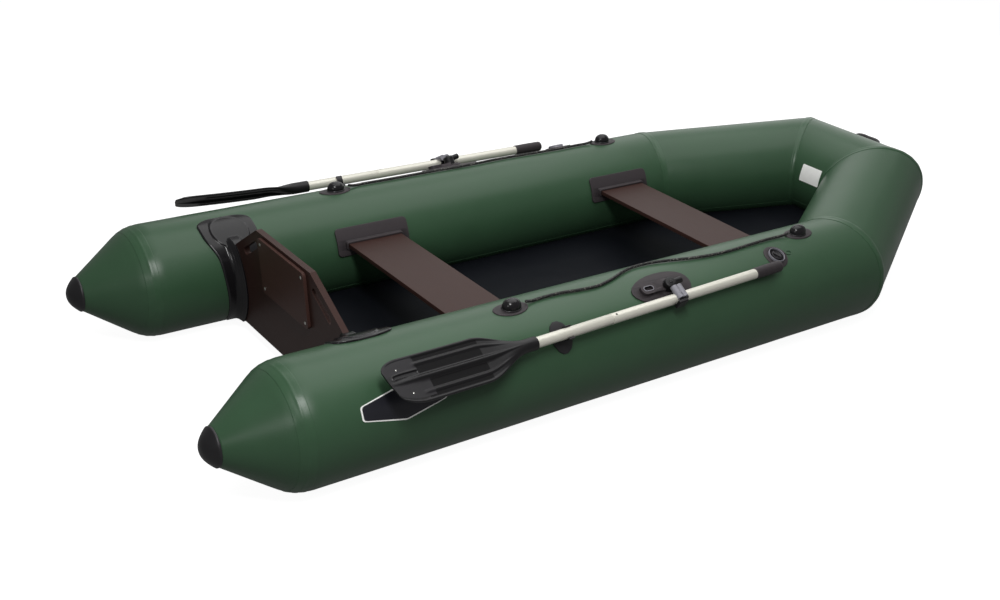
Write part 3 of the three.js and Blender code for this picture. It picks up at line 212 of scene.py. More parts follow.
def soft_moulding(name, colour, roughness=(0.42, 0.56), specular=0.35):
    """Flexible moulded PVC: a fine sand grain from the tool, and a painted highlight that pales its sharp edges.
    """
    material, principled, place = shader(name, Specular_IOR_Level=specular)
    cloud = add_node(
        material, "ShaderNodeTexNoise", {"Vector": place, "Scale": per_metre(35), "Detail": 2.0}
    ).outputs["Fac"]
    body = clouded(material, principled, cloud, (darker(colour, 0.88), darker(colour, 1.1)), roughness)
    # painted highlight: convex edges, found by pointiness, are drawn at twice the colour as if light caught them
    edge = add_node(material, "ShaderNodeNewGeometry").outputs["Pointiness"]
    edge_highlight = add_node(
        material, "ShaderNodeMapRange", {"Value": edge, "From Min": 0.5, "From Max": 0.56}
    ).outputs["Result"]
    tint = add_node(
        material, "ShaderNodeMix", {0: edge_highlight, 6: body, 7: darker(colour, 2.0)}, data_type="RGBA"
    ).outputs[2]
    grain = add_node(
        material, "ShaderNodeTexNoise", {"Vector": place, "Scale": per_metre(1.6), "Detail": 4.0}
    ).outputs["Fac"]
    bump = add_node(material, "ShaderNodeBump", {"Height": grain, "Distance": 0.00005}).outputs["Normal"]
    connect(material, principled, {"Base Color": tint, "Normal": bump})
    return material


def nylon(name, colour, roughness=(0.34, 0.46), specular=0.35):
    """Injection-moulded nylon: a little glossier than the soft fittings, with slight flow marks."""
    material, principled, place = shader(name, Specular_IOR_Level=specular)
    flow = add_node(
        material, "ShaderNodeTexNoise", {"Vector": place, "Scale": per_metre(24), "Distortion": 1.4}
    ).outputs["Fac"]
    clouded(material, principled, flow, (darker(colour, 0.85), darker(colour, 1.15)), roughness)
    scratch = add_node(
        material, "ShaderNodeTexNoise", {"Vector": place, "Scale": per_metre(1.1), "Detail": 5.0}
    ).outputs["Fac"]
    bump = add_node(material, "ShaderNodeBump", {"Height": scratch, "Distance": 0.00003}).outputs["Normal"]
    connect(material, principled, {"Normal": bump})
    return material


def film_faced_plywood(name, colour):
    """Birch plywood under a phenolic film: smooth and brown, the veins of the veneer faintly showing."""
    material, principled, place = shader(name, Specular_IOR_Level=0.1)
    stretch = add_node(
        material, "ShaderNodeMapping", {"Vector": place, "Scale": (1.0, 0.08, 1.0)}
    ).outputs["Vector"]
    vein = add_node(
        material, "ShaderNodeTexNoise", {"Vector": stretch, "Scale": per_metre(5), "Detail": 6.0}
    ).outputs["Fac"]
    film = clouded(material, principled, vein, (darker(colour, 0.8), darker(colour, 1.14)), (0.3, 0.42))
    cloud = add_node(
        material, "ShaderNodeTexNoise", {"Vector": place, "Scale": per_metre(60), "Detail": 3.0}
    ).outputs["Fac"]
    faded = add_node(material, "ShaderNodeMapRange", {"Value": cloud, "To Max": 0.4}).outputs["Result"]
    tint = add_node(
        material, "ShaderNodeMix", {0: faded, 6: film, 7: darker(colour, 1.25)}, data_type="RGBA"
    ).outputs[2]
    bump = add_node(material, "ShaderNodeBump", {"Height": vein, "Distance": 0.00004}).outputs["Normal"]
    connect(material, principled, {"Base Color": tint, "Normal": bump})
    return material


def anodised_shaft(name, colour):
    """Drawn aluminium tube, satin-anodised: fine draw lines along the shaft and a soft bright band."""
    material, principled, place = shader(name, Metallic=0.25, Specular_IOR_Level=0.5)
    smudge = add_node(
        material, "ShaderNodeTexNoise", {"Vector": place, "Scale": per_metre(45), "Detail": 3.0}
    ).outputs["Fac"]
    clouded(material, principled, smudge, (darker(colour, 0.93), darker(colour, 1.03)), (0.28, 0.4))
    stretch = add_node(
        material, "ShaderNodeMapping", {"Vector": place, "Scale": (0.03, 1.0, 1.0)}
    ).outputs["Vector"]
    lines = add_node(
        material, "ShaderNodeTexNoise", {"Vector": stretch, "Scale": per_metre(0.8), "Detail": 4.0}
    ).outputs["Fac"]
    bump = add_node(material, "ShaderNodeBump", {"Height": lines, "Distance": 0.000015}).outputs["Normal"]
    connect(material, principled, {"Normal": bump})
    return material


def braided_rope(name, colour):
    """Braided polypropylene: dark yarns with pale flecks where single filaments catch the light."""
    material, principled, place = shader(name, Roughness=0.6, Specular_IOR_Level=0.35)
    yarn = add_node(
        material, "ShaderNodeTexVoronoi", {"Vector": place, "Scale": per_metre(3.2)}
    ).outputs["Distance"]
    fleck = add_node(
        material, "ShaderNodeTexNoise", {"Vector": place, "Scale": per_metre(4.5), "Detail": 1.0}
    ).outputs["Fac"]
    bright = add_node(
        material, "ShaderNodeMapRange", {"Value": fleck, "From Min": 0.58, "From Max": 0.68}
    ).outputs["Result"]
    body = add_node(
        material, "ShaderNodeMix", {0: yarn, 6: darker(colour, 1.5), 7: darker(colour, 0.5)}, data_type="RGBA"
    ).outputs[2]
    tint = add_node(
        material, "ShaderNodeMix", {0: bright, 6: body, 7: linear("6F6D68")}, data_type="RGBA"
    ).outputs[2]
    bump = add_node(material, "ShaderNodeBump", {"Height": yarn, "Distance": 0.0006}).outputs["Normal"]
    connect(material, principled, {"Base Color": tint, "Normal": bump})
    return material


def stainless(name):
    """Stainless steel, turned and lightly polished."""
    material, principled, place = shader(name, Metallic=1.0)
    scratch = add_node(
        material, "ShaderNodeTexNoise", {"Vector": place, "Scale": per_metre(0.6)}
    ).outputs["Fac"]
    clouded(material, principled, scratch, (linear("B4B3AF"), linear("D2D1CC")), (0.22, 0.34))
    return material


def vinyl(name, colour):
    """Vinyl film: even and slightly glossy, with a faint wave where it follows the tube."""
    material, principled, place = shader(name, Specular_IOR_Level=0.4)
    wave = add_node(material, "ShaderNodeTexNoise", {"Vector": place, "Scale": per_metre(18)}).outputs["Fac"]
    clouded(material, principled, wave, (darker(colour, 0.95), darker(colour, 1.04)), (0.32, 0.42))
    bump = add_node(material, "ShaderNodeBump", {"Height": wave, "Distance": 0.00006}).outputs["Normal"]
    connect(material, principled, {"Normal": bump})
    return material


MATERIALS = {}


def material_for(name):
    """Makes each material once, from the panel's settings."""
    if name not in MATERIALS:
        settings = bpy.context.scene.dinghy
        tube, floor = settings.hull.tube_colour, settings.hull.floor_colour
        dark, grey = settings.fittings.dark_colour, settings.fittings.grey_colour
        wood, shaft = settings.fittings.wood_colour, settings.oars.shaft_colour
        makers = {
            "tube_fabric": lambda n: coated_fabric(n, tube),
            "seam_tape": lambda n: coated_fabric(n, darker(tube, 1.05), (0.28, 0.36)),
            "floor_fabric": lambda n: coated_fabric(n, floor, (0.5, 0.62), 3.0, 0.1),
            "black_moulding": lambda n: soft_moulding(n, dark, (0.34, 0.46)),
            "gloss_moulding": lambda n: soft_moulding(n, darker(dark, 0.8), (0.17, 0.25), 0.3),
            "grey_moulding": lambda n: soft_moulding(n, grey, specular=0.18),
            "black_nylon": lambda n: nylon(n, darker(dark, 0.75), specular=0.28),
            # near-black nylon; on the disc in the oarlock's base and in the valve's well it also paints the shade
            # inside a hole
            "deep_black_nylon": lambda n: nylon(n, darker(dark, 0.4), (0.5, 0.6), 0.12),
            "matt_black_nylon": lambda n: nylon(n, darker(dark, 1.7), (0.5, 0.6), 0.28),
            # grey nylon on the collar's barrels; on the valve ring and the eye's bead its pale grey is a painted
            # highlight on a black rim
            "grey_nylon": lambda n: nylon(n, linear("828188"), (0.3, 0.4)),
            "film_faced_plywood": lambda n: film_faced_plywood(n, wood),
            "motor_pad_plywood": lambda n: film_faced_plywood(n, darker(wood, 1.5)),
            "anodised_shaft": lambda n: anodised_shaft(n, shaft),
            "braided_rope": lambda n: braided_rope(n, linear("171718")),
            "stainless_steel": stainless,
            "white_vinyl": lambda n: vinyl(n, linear("F6F6F3")),
            "black_vinyl": lambda n: vinyl(n, linear("1B1B22")),
        }
        MATERIALS[name] = makers[name](name)
    return MATERIALS[name]


# ---------- making meshes ----------
def circle_turns(count):
    return [2 * math.pi * i / count for i in range(count)]


def strips(rows, size, closed=False):
    """Quads between rings of points, also between the last and the first where they close."""
    faces = []
    for i in range(rows if closed else rows - 1):
        here, there = i * size, (i + 1) % rows * size
        faces += [(here + j, here + (j + 1) % size, there + (j + 1) % size, there + j) for j in range(size)]
    return faces


def loft(rings, closed=False):
    """Skin through rings of as many points each, capped at both ends or closed into a loop."""
    size = len(rings[0])
    points = [p for ring in rings for p in ring]
    faces = strips(len(rings), size, closed)
    if not closed:
        faces += [tuple(reversed(range(size))), tuple(range(len(points) - size, len(points)))]
    return points, faces


def together(*shapes):
    points, faces = [], []
    for some, their_faces in shapes:
        start = len(points)
        points += some
        faces += [tuple(start + i for i in face) for face in their_faces]
    return points, faces


def placed(shape, matrix):
    points, faces = shape
    return [matrix @ Vector(p) for p in points], faces


def make_piece(name, shape, material, side=1, node="", body="hull", slot=None, crease=40, bevel=0.0):
    """An object from points and faces, mirrored for port, that rides on a body and stands for a node."""
    points, faces = shape
    mesh = bpy.data.meshes.new(name)
    mesh.from_pydata([(p[0], p[1] * side, p[2]) for p in points], [], faces)
    made = bmesh.new()
    made.from_mesh(mesh)
    bmesh.ops.recalc_face_normals(made, faces=made.faces)
    made.to_mesh(mesh)
    made.free()
    return set_up(name, mesh, material, node, body, crease, bevel)


def set_up(name, mesh, material, node, body, crease, bevel):
    piece = bpy.data.objects.new(name, mesh)
    bpy.context.scene.collection.objects.link(piece)
    mesh.shade_smooth()
    mesh.set_sharp_from_angle(angle=math.radians(crease))
    mesh.materials.append(material_for(material))
    if bevel:
        rounding = piece.modifiers.new("edges", "BEVEL")
        rounding.width = bevel
        rounding.segments = 3
        rounding.limit_method = "ANGLE"
        rounding.angle_limit = math.radians(crease)
        rounding.harden_normals = True
    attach(piece, body)
    if node:
        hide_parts(node)
    return piece


def make_pair(name, shape, material, node="", body="hull", **options):
    """The starboard piece and its mirror image for port; {} in a name is the side's place."""
    return [
        make_piece(name.format(each), shape, material, side, node.format(each), body.format(each), **options)
        for each, side in SIDES.items()
    ]


MERGE_DISTANCE, FLAT_ANGLE, COPY_CREASE = 0.00002, math.radians(1), 32


def rounded_copy(node, material, bevel=0.0, body="hull"):
    """A CAD node's own shape with its facets merged, its curves smooth and its edges rounded."""
    made = bmesh.new()
    made.from_mesh(frame["nodes"][node].data)
    bmesh.ops.remove_doubles(made, verts=made.verts, dist=MERGE_DISTANCE)
    bmesh.ops.dissolve_limit(
        made, angle_limit=FLAT_ANGLE, verts=made.verts, edges=made.edges, delimit={"NORMAL"}
    )
    mesh = bpy.data.meshes.new(node + "_shape")
    made.to_mesh(mesh)
    made.free()
    return set_up(node + "_moulding", mesh, material, node, body, COPY_CREASE, bevel)


# ---------- places on the starboard tube ----------
def on_tube(x, angle, height):
    """A point on the starboard tube: angle in degrees from its top, outboard positive."""
    turn = math.radians(angle)
    reach = RADIUS + height
    return Vector((x, -TUBE_Y - reach * math.sin(turn), RADIUS + reach * math.cos(turn)))


def tube_place(x, angle, height=0.0):
    """Matrix whose X runs forward, Y round the tube inboard and Z outward."""
    across, up = math.sin(math.radians(angle)), math.cos(math.radians(angle))
    return axes_at(on_tube(x, angle, height), (1, 0, 0), (0, up, across), (0, -across, up))


def wrapped(x, angle, along, across, height):
    """A point of a patch laid round the tube, across measured on its surface."""
    return on_tube(x + along, angle - math.degrees(across / RADIUS), height)


def patch(outline, x, angle, profile):
    """A pad laid round the tube. The profile's rows are inset from the outline and height."""
    rings = []
    for inset, height in profile:
        ring = []
        for along, across in outline:
            share = max(0.002, 1 - inset / math.hypot(along, across))
            ring.append(wrapped(x, angle, along * share, across * share, height))
        rings.append(ring)
    return loft(rings)


def soft_edge(thickness, reach):
    """Profile of a moulded pad with a rounded rim and a flat top."""
    rows = [(reach * 0.96, -0.001), (0.0, -0.001), (0.0, thickness * 0.45)]
    rows += [(thickness * 0.25, thickness * 0.86), (thickness * 0.7, thickness)]
    return rows + [(reach * share, thickness) for share in (0.25, 0.45, 0.65, 0.85, 0.97)]


def ellipse(length, width, count):
    return [(length / 2 * math.cos(t), width / 2 * math.sin(t)) for t in circle_turns(count)]


def circle(radius, count):
    return ellipse(2 * radius, 2 * radius, count)


def rounded_rectangle(length, width, corner, count=8):
    points = []
    for sx, sy, start in ((1, 1, 0), (-1, 1, 90), (-1, -1, 180), (1, -1, 270)):
        x, y = sx * (length / 2 - corner), sy * (width / 2 - corner)
        turns = [math.radians(start + 90 * i / count) for i in range(count + 1)]
        points += [(x + corner * math.cos(t), y + corner * math.sin(t)) for t in turns]
    return dense(points, 0.012)


def dense(points, step):
    """The same closed outline with no stretch longer than step."""
    made = []
    for i, (x, y) in enumerate(points):
        nx, ny = points[(i + 1) % len(points)]
        parts = max(1, math.ceil(math.hypot(nx - x, ny - y) / step))
        made += [(x + (nx - x) * k / parts, y + (ny - y) * k / parts) for k in range(parts)]
    return made


def revolve(profile, sides=48, closed=False):
    """Turned about Z from (radius, height) pairs; a closed profile gives a ring."""
    rings = []
    for radius, height in profile:
        reach = max(radius, 1e-5)
        rings.append([(reach * math.cos(t), reach * math.sin(t), height) for t in circle_turns(sides)])
    return loft(rings, closed)


def rounded_box(x, y, z, corner):
    """A block with rounded upright corners and eased top and bottom edges, centred on the origin."""
    eased = min(corner, z / 2) * 0.5
    rings = []
    for inset, height in ((eased, -z / 2), (0, -z / 2 + eased), (0, z / 2 - eased), (eased, z / 2)):
        outline = rounded_rectangle(x - 2 * inset, y - 2 * inset, max(corner - inset, 0.0004), 5)
        rings.append([Vector((px, py, height)) for px, py in outline])
    size = min(len(ring) for ring in rings)
    return loft([ring[:size] for ring in rings])


def axes_at(origin, x, y, z):
    return Matrix.Translation(origin) @ Matrix((x, y, z)).transposed().to_4x4()


def frame_at(origin, x, z):
    """Matrix with its Z along z, its X as near x as it can be, at origin."""
    up = Vector(z).normalized()
    side = up.cross(Vector(x)).normalized()
    return axes_at(origin, side.cross(up), side, up)


def sweep(path, section):
    """Skin of a section of (across, up) pairs carried along a path without twisting."""
    rings = []
    normal = Vector((0, 0, 1))
    for i, point in enumerate(path):
        along = (path[min(i + 1, len(path) - 1)] - path[max(i - 1, 0)]).normalized()
        normal = (normal - along * normal.dot(along)).normalized()
        across = along.cross(normal)
        shape = section(i) if callable(section) else section
        rings.append([point + across * a + normal * b for a, b in shape])
    return loft(rings)


def ease(value, low, high):
    """Smooth step from 0 at low to 1 at high."""
    run = min(max((value - low) / (high - low), 0.0), 1.0)
    return run * run * (3 - 2 * run)


def ridge(offset, width):
    """A smooth bump of height 1 at no offset."""
    return math.exp(-((offset / width) ** 2))


# ---------- stage ----------
# place, target, size and the panel's setting for the power of each lamp
LAMPS = {
    "overhead": ((0.75, 0.4, 3.2), (0.5, 0.25, 0.0), (4.0, 3.6), "key_power"),
    "upper": ((-1.55, -2.0, 2.9), (-1.1, -0.55, 0.2), (0.55, 1.3), "upper_power"),
    "beside_camera": ((-3.4, -2.4, 1.9), (-0.9, -0.5, 0.2), (0.9, 0.7), "front_power"),
    "behind": ((2.6, 2.8, 1.7), (0.5, 0.0, 0.2), (6.0, 2.4), "backdrop_power"),
}
FLOOR_REACH = 30


def background_seen(material):
    """Where the white background shows: to the camera, through clear pieces, and softly in reflections."""
    rays = add_node(material, "ShaderNodeLightPath").outputs
    # an eighth of white is what pale walls under a dark ceiling leave in a rough reflection
    mirrored = add_node(
        material, "ShaderNodeMath", {0: rays["Is Glossy Ray"], 1: 0.12}, operation="MULTIPLY"
    ).outputs[0]
    clear = add_node(
        material, "ShaderNodeMath", {0: rays["Is Camera Ray"], 1: rays["Is Transmission Ray"]},
        operation="MAXIMUM",
    ).outputs[0]
    return add_node(material, "ShaderNodeMath", {0: clear, 1: mirrored}, operation="MAXIMUM").outputs[0]


def stage_floor():
    """A white sweep: it looks pale and keeps the shadow, and throws some light back under the boat."""
    mesh = bpy.data.meshes.new("floor")
    corners = [(FLOOR_REACH * x, FLOOR_REACH * y, 0) for x, y in ((-1, -1), (1, -1), (1, 1), (-1, 1))]
    mesh.from_pydata(corners, [], [(0, 1, 2, 3)])
    plane = bpy.data.objects.new("floor", mesh)
    bpy.context.scene.collection.objects.link(plane)
    material, principled, _ = shader("matt_white_sweep", Roughness=1.0, Specular_IOR_Level=0.0)
    seen = background_seen(material)
    tone = add_node(
        material, "ShaderNodeMix", {0: seen, 6: linear("767676"), 7: linear("8C8C8C")}, data_type="RGBA"
    ).outputs[2]
    glow = add_node(material, "ShaderNodeMath", {0: seen, 1: 0.94}, operation="MULTIPLY").outputs[0]
    connect(
        material, principled, {"Base Color": tone, "Emission Color": (1, 1, 1, 1), "Emission Strength": glow}
    )
    mesh.materials.append(material)


def sky():
    world = bpy.data.worlds.new("studio")
    world.use_nodes = True
    bpy.context.scene.world = world
    tone = add_node(
        world, "ShaderNodeMix", {0: background_seen(world), 6: linear("727272"), 7: (1, 1, 1, 1)},
        data_type="RGBA",
    ).outputs[2]
    connect(world, world.node_tree.nodes["Background"], {"Color": tone})


class DINGHY_OT_stage(bpy.types.Operator):
    """Camera, pale floor and soft studio light"""

    bl_idname = "dinghy.stage"
    bl_label = "Stage"

    def execute(self, context):
        stage = context.scene.dinghy.stage
        heading, dip, roll = stage.camera_turn
        level = math.cos(dip)
        ahead = Vector((math.cos(heading) * level, math.sin(heading) * level, -math.sin(dip)))
        right = ahead.cross(Vector((0, 0, 1))).normalized()
        up = right.cross(ahead)
        camera = bpy.data.objects.new("camera", bpy.data.cameras.new("camera"))
        camera.data.lens = stage.lens
        camera.data.sensor_width = 36
        camera.matrix_world = axes_at(
            stage.camera_place, right * math.cos(roll) + up * math.sin(roll),
            up * math.cos(roll) - right * math.sin(roll), -ahead,
        )
        context.scene.collection.objects.link(camera)
        context.scene.camera = camera
        for name, (place, target, size, power) in LAMPS.items():
            light = bpy.data.lights.new(name, "AREA")
            light.shape = "RECTANGLE"
            light.size, light.size_y = size
            light.energy = getattr(stage, power)
            lamp = bpy.data.objects.new(name, light)
            lamp.matrix_world = frame_at(Vector(place), (1, 0, 0), Vector(place) - Vector(target))
            context.scene.collection.objects.link(lamp)
        stage_floor()
        sky()
        context.scene.view_settings.view_transform = "Standard"
        return {"FINISHED"}


# ---------- lifelines ----------
ROPE_STANDOFF = 0.0008  # from the fabric to the rope
ROPE_RISE, ROPE_RISE_RUN = 0.006, 0.04  # lift into the holder's mouth
ROPE_MOUTH = 0.0283  # from a holder's middle to its mouth
ROPE_STEPS, ROPE_LEAST_STEP = 380, 0.001
STRANDS, STRAND_PITCH, STRAND_DEPTH = 4, 0.022, 0.04
# share of the way from the rear holder to the front one, degrees outboard of the tube's top
LIFELINES = {
    "starboard": [
        (0.045, 4), (0.09, 2), (0.152, 2), (0.212, 5), (0.264, 6), (0.323, 1), (0.377, -7), (0.424, -12),
        (0.473, -12), (0.518, -8), (0.56, -3), (0.6, 1), (0.668, 4.5), (0.738, 5), (0.814, 3.5),
        (0.898, 2.5), (0.955, 4),
    ],
    "port": [
        (0.045, 4), (0.09, 6.5), (0.17, 6), (0.32, 6), (0.464, 5), (0.582, 7), (0.695, 5.5), (0.812, 4),
        (0.905, 5), (0.955, 4),
    ],
}


def through(points, share):
    """A point of the centripetal Catmull-Rom curve through points."""
    place = share * (len(points) - 1)
    i = min(int(place), len(points) - 2)
    t = place - i
    a, b = points[i], points[i + 1]
    before = points[i - 1] if i else 2 * a - b
    after = points[i + 2] if i + 2 < len(points) else 2 * b - a
    first, step, last = [(q - p).length ** 0.5 for p, q in ((before, a), (a, b), (b, after))]
    leave = ((a - before) / first - (b - before) / (first + step) + (b - a) / step) * step
    arrive = ((b - a) / step - (after - a) / (step + last) + (after - b) / last) * step
    cube, square = t**3, t * t
    ends = a * (2 * cube - 3 * square + 1) + b * (3 * square - 2 * cube)
    return ends + leave * (cube - 2 * square + t) + arrive * (cube - square)


def rope_route(table, thickness):
    """Points down the middle of a starboard rope, about 3 mm apart."""
    rear, front = (centre_of(f"rope_holder_{end}_starboard").x for end in ("rear", "front"))
    flat = [Vector((rear + s * (front - rear), RADIUS * math.radians(a), 0)) for s, a in table]
    path = []
    for i in range(ROPE_STEPS + 1):
        spot = through(flat, i / ROPE_STEPS)
        near = min(spot.x - flat[0].x, flat[-1].x - spot.x)
        lift = ROPE_RISE * max(0, 1 - near / ROPE_RISE_RUN) ** 2
        x = min(max(spot.x, rear + ROPE_MOUTH), front - ROPE_MOUTH)
        place = on_tube(x, math.degrees(spot.y / RADIUS), ROPE_STANDOFF + thickness / 2 + lift)
        if not path or (place - path[-1]).length > ROPE_LEAST_STEP:
            path.append(place)
    return path


def braid(path, thickness):
    """A round rope with two sets of strands crossing on its surface."""
    travelled = [0.0]
    for a, b in zip(path, path[1:]):
        travelled.append(travelled[-1] + (b - a).length)

    def section(i):
        ring = []
        twist = 2 * math.pi * travelled[i] / STRAND_PITCH
        for turn in circle_turns(24):
            crossing = max(math.cos(STRANDS * turn + twist), math.cos(STRANDS * turn - twist))
            reach = thickness / 2 * (1 - STRAND_DEPTH + STRAND_DEPTH * crossing)
            ring.append((reach * math.cos(turn), reach * math.sin(turn)))
        return ring

    return sweep(path, section)


class DINGHY_OT_lifelines(bpy.types.Operator):
    """Braided lifelines on the tubes"""

    bl_idname = "dinghy.lifelines"
    bl_label = "Lifelines"

    def execute(self, context):
        thickness = context.scene.dinghy.oars.rope_thickness
        for name, side in SIDES.items():
            path = rope_route(LIFELINES[name], thickness)
            node = f"lifeline_{name}"
            rope = make_piece(f"{node}_rope", braid(path, thickness), "braided_rope", side, node, crease=180)
        return {"FINISHED"}


# ---------- tubes ----------
QUARTER_ALONG = (FRONT - BEND).normalized()
STERN = Vector((CONE_X, -TUBE_Y, RADIUS))
ACROSS = Vector((0, 1, 0))
FORWARD = Vector((1, 0, 0))
MIRRORED_FRONT = Vector((FRONT.x, -FRONT.y, FRONT.z))
MIRRORED_ALONG = Vector((-QUARTER_ALONG.x, QUARTER_ALONG.y, -QUARTER_ALONG.z))
# each length of tube: its ends, and the normals of the planes that it is cut on
SPANS = {
    "side_tube": (STERN, BEND, FORWARD, FORWARD + QUARTER_ALONG),
    "bow_quarter": (BEND, FRONT, FORWARD + QUARTER_ALONG, QUARTER_ALONG + ACROSS),
    "bow_front": (FRONT, MIRRORED_FRONT, QUARTER_ALONG + ACROSS, ACROSS + MIRRORED_ALONG),
}
CAP_LOW, CAP_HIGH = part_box("stern_cap_starboard")
CAP_RADIUS = (CAP_HIGH.y - CAP_LOW.y) / 2
CAP_STEP = 0.0015  # from the cap's rim in to the cone
CONE_LENGTH = CONE_X - CAP_HIGH.x
CONE_SLOPE = math.atan2(RADIUS - CAP_RADIUS + CAP_STEP, CONE_LENGTH)
CONE_ROWS = 40
WAVE_HEIGHT = 0.00035
PUCKER_HEIGHT, PUCKER_REACH = 0.0009, 0.032
TAPE_SINK, TAPE_BEVEL = 0.001, 0.0012
LAP_HEIGHT, LAP_WIDTH = 0.0007, 0.0035
BEND_TAPE_SHARE = 0.35  # half width of a tape at the bow, as a share of the panel's tape width


def along_span(span):
    """Start, direction and length of a length of tube's axis."""
    start, finish = SPANS[span][:2]
    return start, (finish - start).normalized(), (finish - start).length


def tube_point(span, distance, turn, height=0.0):
    """A point on a length of tube: distance from its start, turn round it from inboard over the top."""
    start, along, length = along_span(span)
    first, last = SPANS[span][2:]
    inner = Vector((0, 0, 1)).cross(along).normalized()
    reach = RADIUS + height
    spoke = inner * (reach * math.cos(turn)) + along.cross(inner) * (reach * math.sin(turn))
    share = distance / length
    shift = -spoke.dot(first) / along.dot(first) * (1 - share) - spoke.dot(last) / along.dot(last) * share
    return start + spoke + along * (distance + shift)


def cone_drop(aft):
    """How far the stern is drawn in from the tube's radius, aft of the cone seam."""
    rounding = bpy.context.scene.dinghy.hull.shoulder_radius
    run = rounding * math.tan(CONE_SLOPE / 2)
    if aft <= -run:
        return 0.0
    if aft < run * math.cos(CONE_SLOPE):
        return rounding - math.sqrt(rounding**2 - (aft + run) ** 2)
    return aft * math.tan(CONE_SLOPE)


def swell(point, seam_distance):
    """Relief of the stretched fabric: long shallow waves, and puckers that die away from a seam."""
    waves = WAVE_HEIGHT * field.noise(point * 7) - WAVE_HEIGHT
    puckers = PUCKER_HEIGHT * ridge(seam_distance, PUCKER_REACH)
    return waves + puckers * (field.noise(point * 34 + Vector((5, 0, 0))) - 0.25)


def stations(length, fine=0.006, coarse=0.026, reach=0.09):
    """Distances along a tube, close together near both of its ends."""
    marks = [0.0]
    while marks[-1] < length:
        near = min(marks[-1], length - marks[-1])
        marks.append(marks[-1] + (fine if near < reach else coarse))
    return marks[:-1] + [length] if length - marks[-2] > fine / 2 else marks[:-2] + [length]


def ring_on(span, distance, height=0.0, turns=None):
    """Points round a length of tube, with the stern's rounding and the fabric's relief."""
    length = along_span(span)[2]
    drop = cone_drop(-distance) if span == "side_tube" else 0.0
    near = abs(min(distance, length - distance))
    ring = []
    for turn in turns or circle_turns(AROUND):
        lift = swell(tube_point(span, distance, turn), near)
        ring.append(tube_point(span, distance, turn, height + lift - drop))
    return ring


def cone_ring(aft, height=0.0):
    """Points round the stern cone at a distance aft of its seam."""
    middle = STERN + Vector((-aft, 0, 0))
    ring = []
    for turn in circle_turns(AROUND):
        spoke = Vector((0, math.cos(turn), math.sin(turn)))
        lift = swell(middle + spoke * RADIUS, abs(aft))
        ring.append(middle + spoke * (RADIUS - cone_drop(aft) + height + lift))
    return ring


def tube_skin(span):
    return loft([ring_on(span, distance) for distance in stations(along_span(span)[2])])


def cone_tape(half, thick):
    """Tape over the cone's seam, with the ridge of the two fabrics that lap under it."""
    rows = [(-half, -TAPE_SINK), (-half, thick * 0.7), (TAPE_BEVEL - half, thick)]
    steps = 20
    for i in range(1, steps):
        along = -half + 2 * half * i / steps
        rows.append((along, thick + LAP_HEIGHT * ridge(along, LAP_WIDTH)))
    rows += [(half - TAPE_BEVEL, thick), (half, thick * 0.7), (half, -TAPE_SINK)]
    rings = [
        ring_on("side_tube", -aft, height) if aft < 0 else cone_ring(aft, height) for aft, height in rows
    ]
    return loft(rings, closed=True)


def bend_tape(before, after, half, thick):
    """Tape over the mitred seam between two lengths of tube."""
    rows = [(-half, -TAPE_SINK), (-half, thick * 0.7), (TAPE_BEVEL - half, thick), (-half / 2, thick)]
    rows += [(0, thick * 1.2), (half / 2, thick), (half - TAPE_BEVEL, thick), (half, thick * 0.7)]
    length = along_span(before)[2]
    rings = [
        ring_on(before, length + along, height) if along < 0 else ring_on(after, along, height)
        for along, height in rows + [(half, -TAPE_SINK)]
    ]
    return loft(rings, closed=True)


class DINGHY_OT_tubes(bpy.types.Operator):
    """Inflated tubes, stern cones and the tapes over their seams"""

    bl_idname = "dinghy.tubes"
    bl_label = "Tubes"

    def execute(self, context):
        hull = context.scene.dinghy.hull
        width, thick = hull.tape_width, hull.tape_thickness
        skins = {part: tube_skin(part) for part in ("side_tube", "bow_quarter")}
        skins["stern_cone"] = loft([cone_ring(CONE_LENGTH * i / CONE_ROWS) for i in range(CONE_ROWS + 1)])
        for part, skin in skins.items():
            make_pair(part + "_{}_fabric", skin, "tube_fabric", part + "_{}", crease=60)
        make_piece("bow_front_fabric", tube_skin("bow_front"), "tube_fabric", node="bow_front", crease=60)
        make_pair("cone_tape_{}", cone_tape(width / 2, thick), "seam_tape", crease=50)
        for before, after in (("side_tube", "bow_quarter"), ("bow_quarter", "bow_front")):
            tape = bend_tape(before, after, width * BEND_TAPE_SHARE, thick)
            make_pair(f"bend_tape_{after}_{{}}", tape, "seam_tape", crease=50)
        return {"FINISHED"}


class DINGHY_OT_stern_caps(bpy.types.Operator):
    """Moulded caps that end the stern cones"""

    bl_idname = "dinghy.stern_caps"
    bl_label = "Stern caps"

    def execute(self, context):
        foot, steps = 0.0068, 24
        length = CONE_X - CONE_LENGTH - CAP_LOW.x - foot
        rim, body = CAP_RADIUS, CAP_RADIUS - 0.0022
        profile = [(rim - 0.004, -0.002), (rim - 0.0005, -0.001), (rim, 0.001), (rim, 0.004)]
        profile += [(rim - 0.0012, 0.0055), (body, foot)]
        for i in range(1, steps + 1):
            t = math.sin(i / steps * math.pi / 2)
            profile.append((body * (1 - t) ** 0.42 * (1 - 0.1 * t), foot + length * t))
        lie = frame_at(Vector((CONE_X - CONE_LENGTH, -TUBE_Y, RADIUS)), (0, 0, 1), (-1, 0, 0))
        cap = placed(revolve(profile, 72), lie)
        make_pair("stern_cap_{}_moulding", cap, "black_moulding", "stern_cap_{}", crease=50)
        return {"FINISHED"}


# ---------- floor ----------
FLOOR_LOW, FLOOR_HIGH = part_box("floor_sheet")
FLOOR_THICKNESS = 0.006
FLOOR_TOP = FLOOR_LOW.z + FLOOR_THICKNESS
FLOOR_GAP = -0.003  # the sheet's edges run into the tubes
FLOOR_ROWS, FLOOR_COLUMNS = 150, 64
FLOOR_WAVE = 0.004
FLOOR_SHORT = 0.0006  # how far the sheet ends before the solid's forward end
FLOOR_TAPE_START, FLOOR_TAPE_SPAN = -0.02, 0.16  # radians round the tube, from the floor's level
FLOOR_TAPE_HEIGHT, FLOOR_TAPE_SINK, FLOOR_TAPE_INSET = 0.0009, 0.0008, 0.02


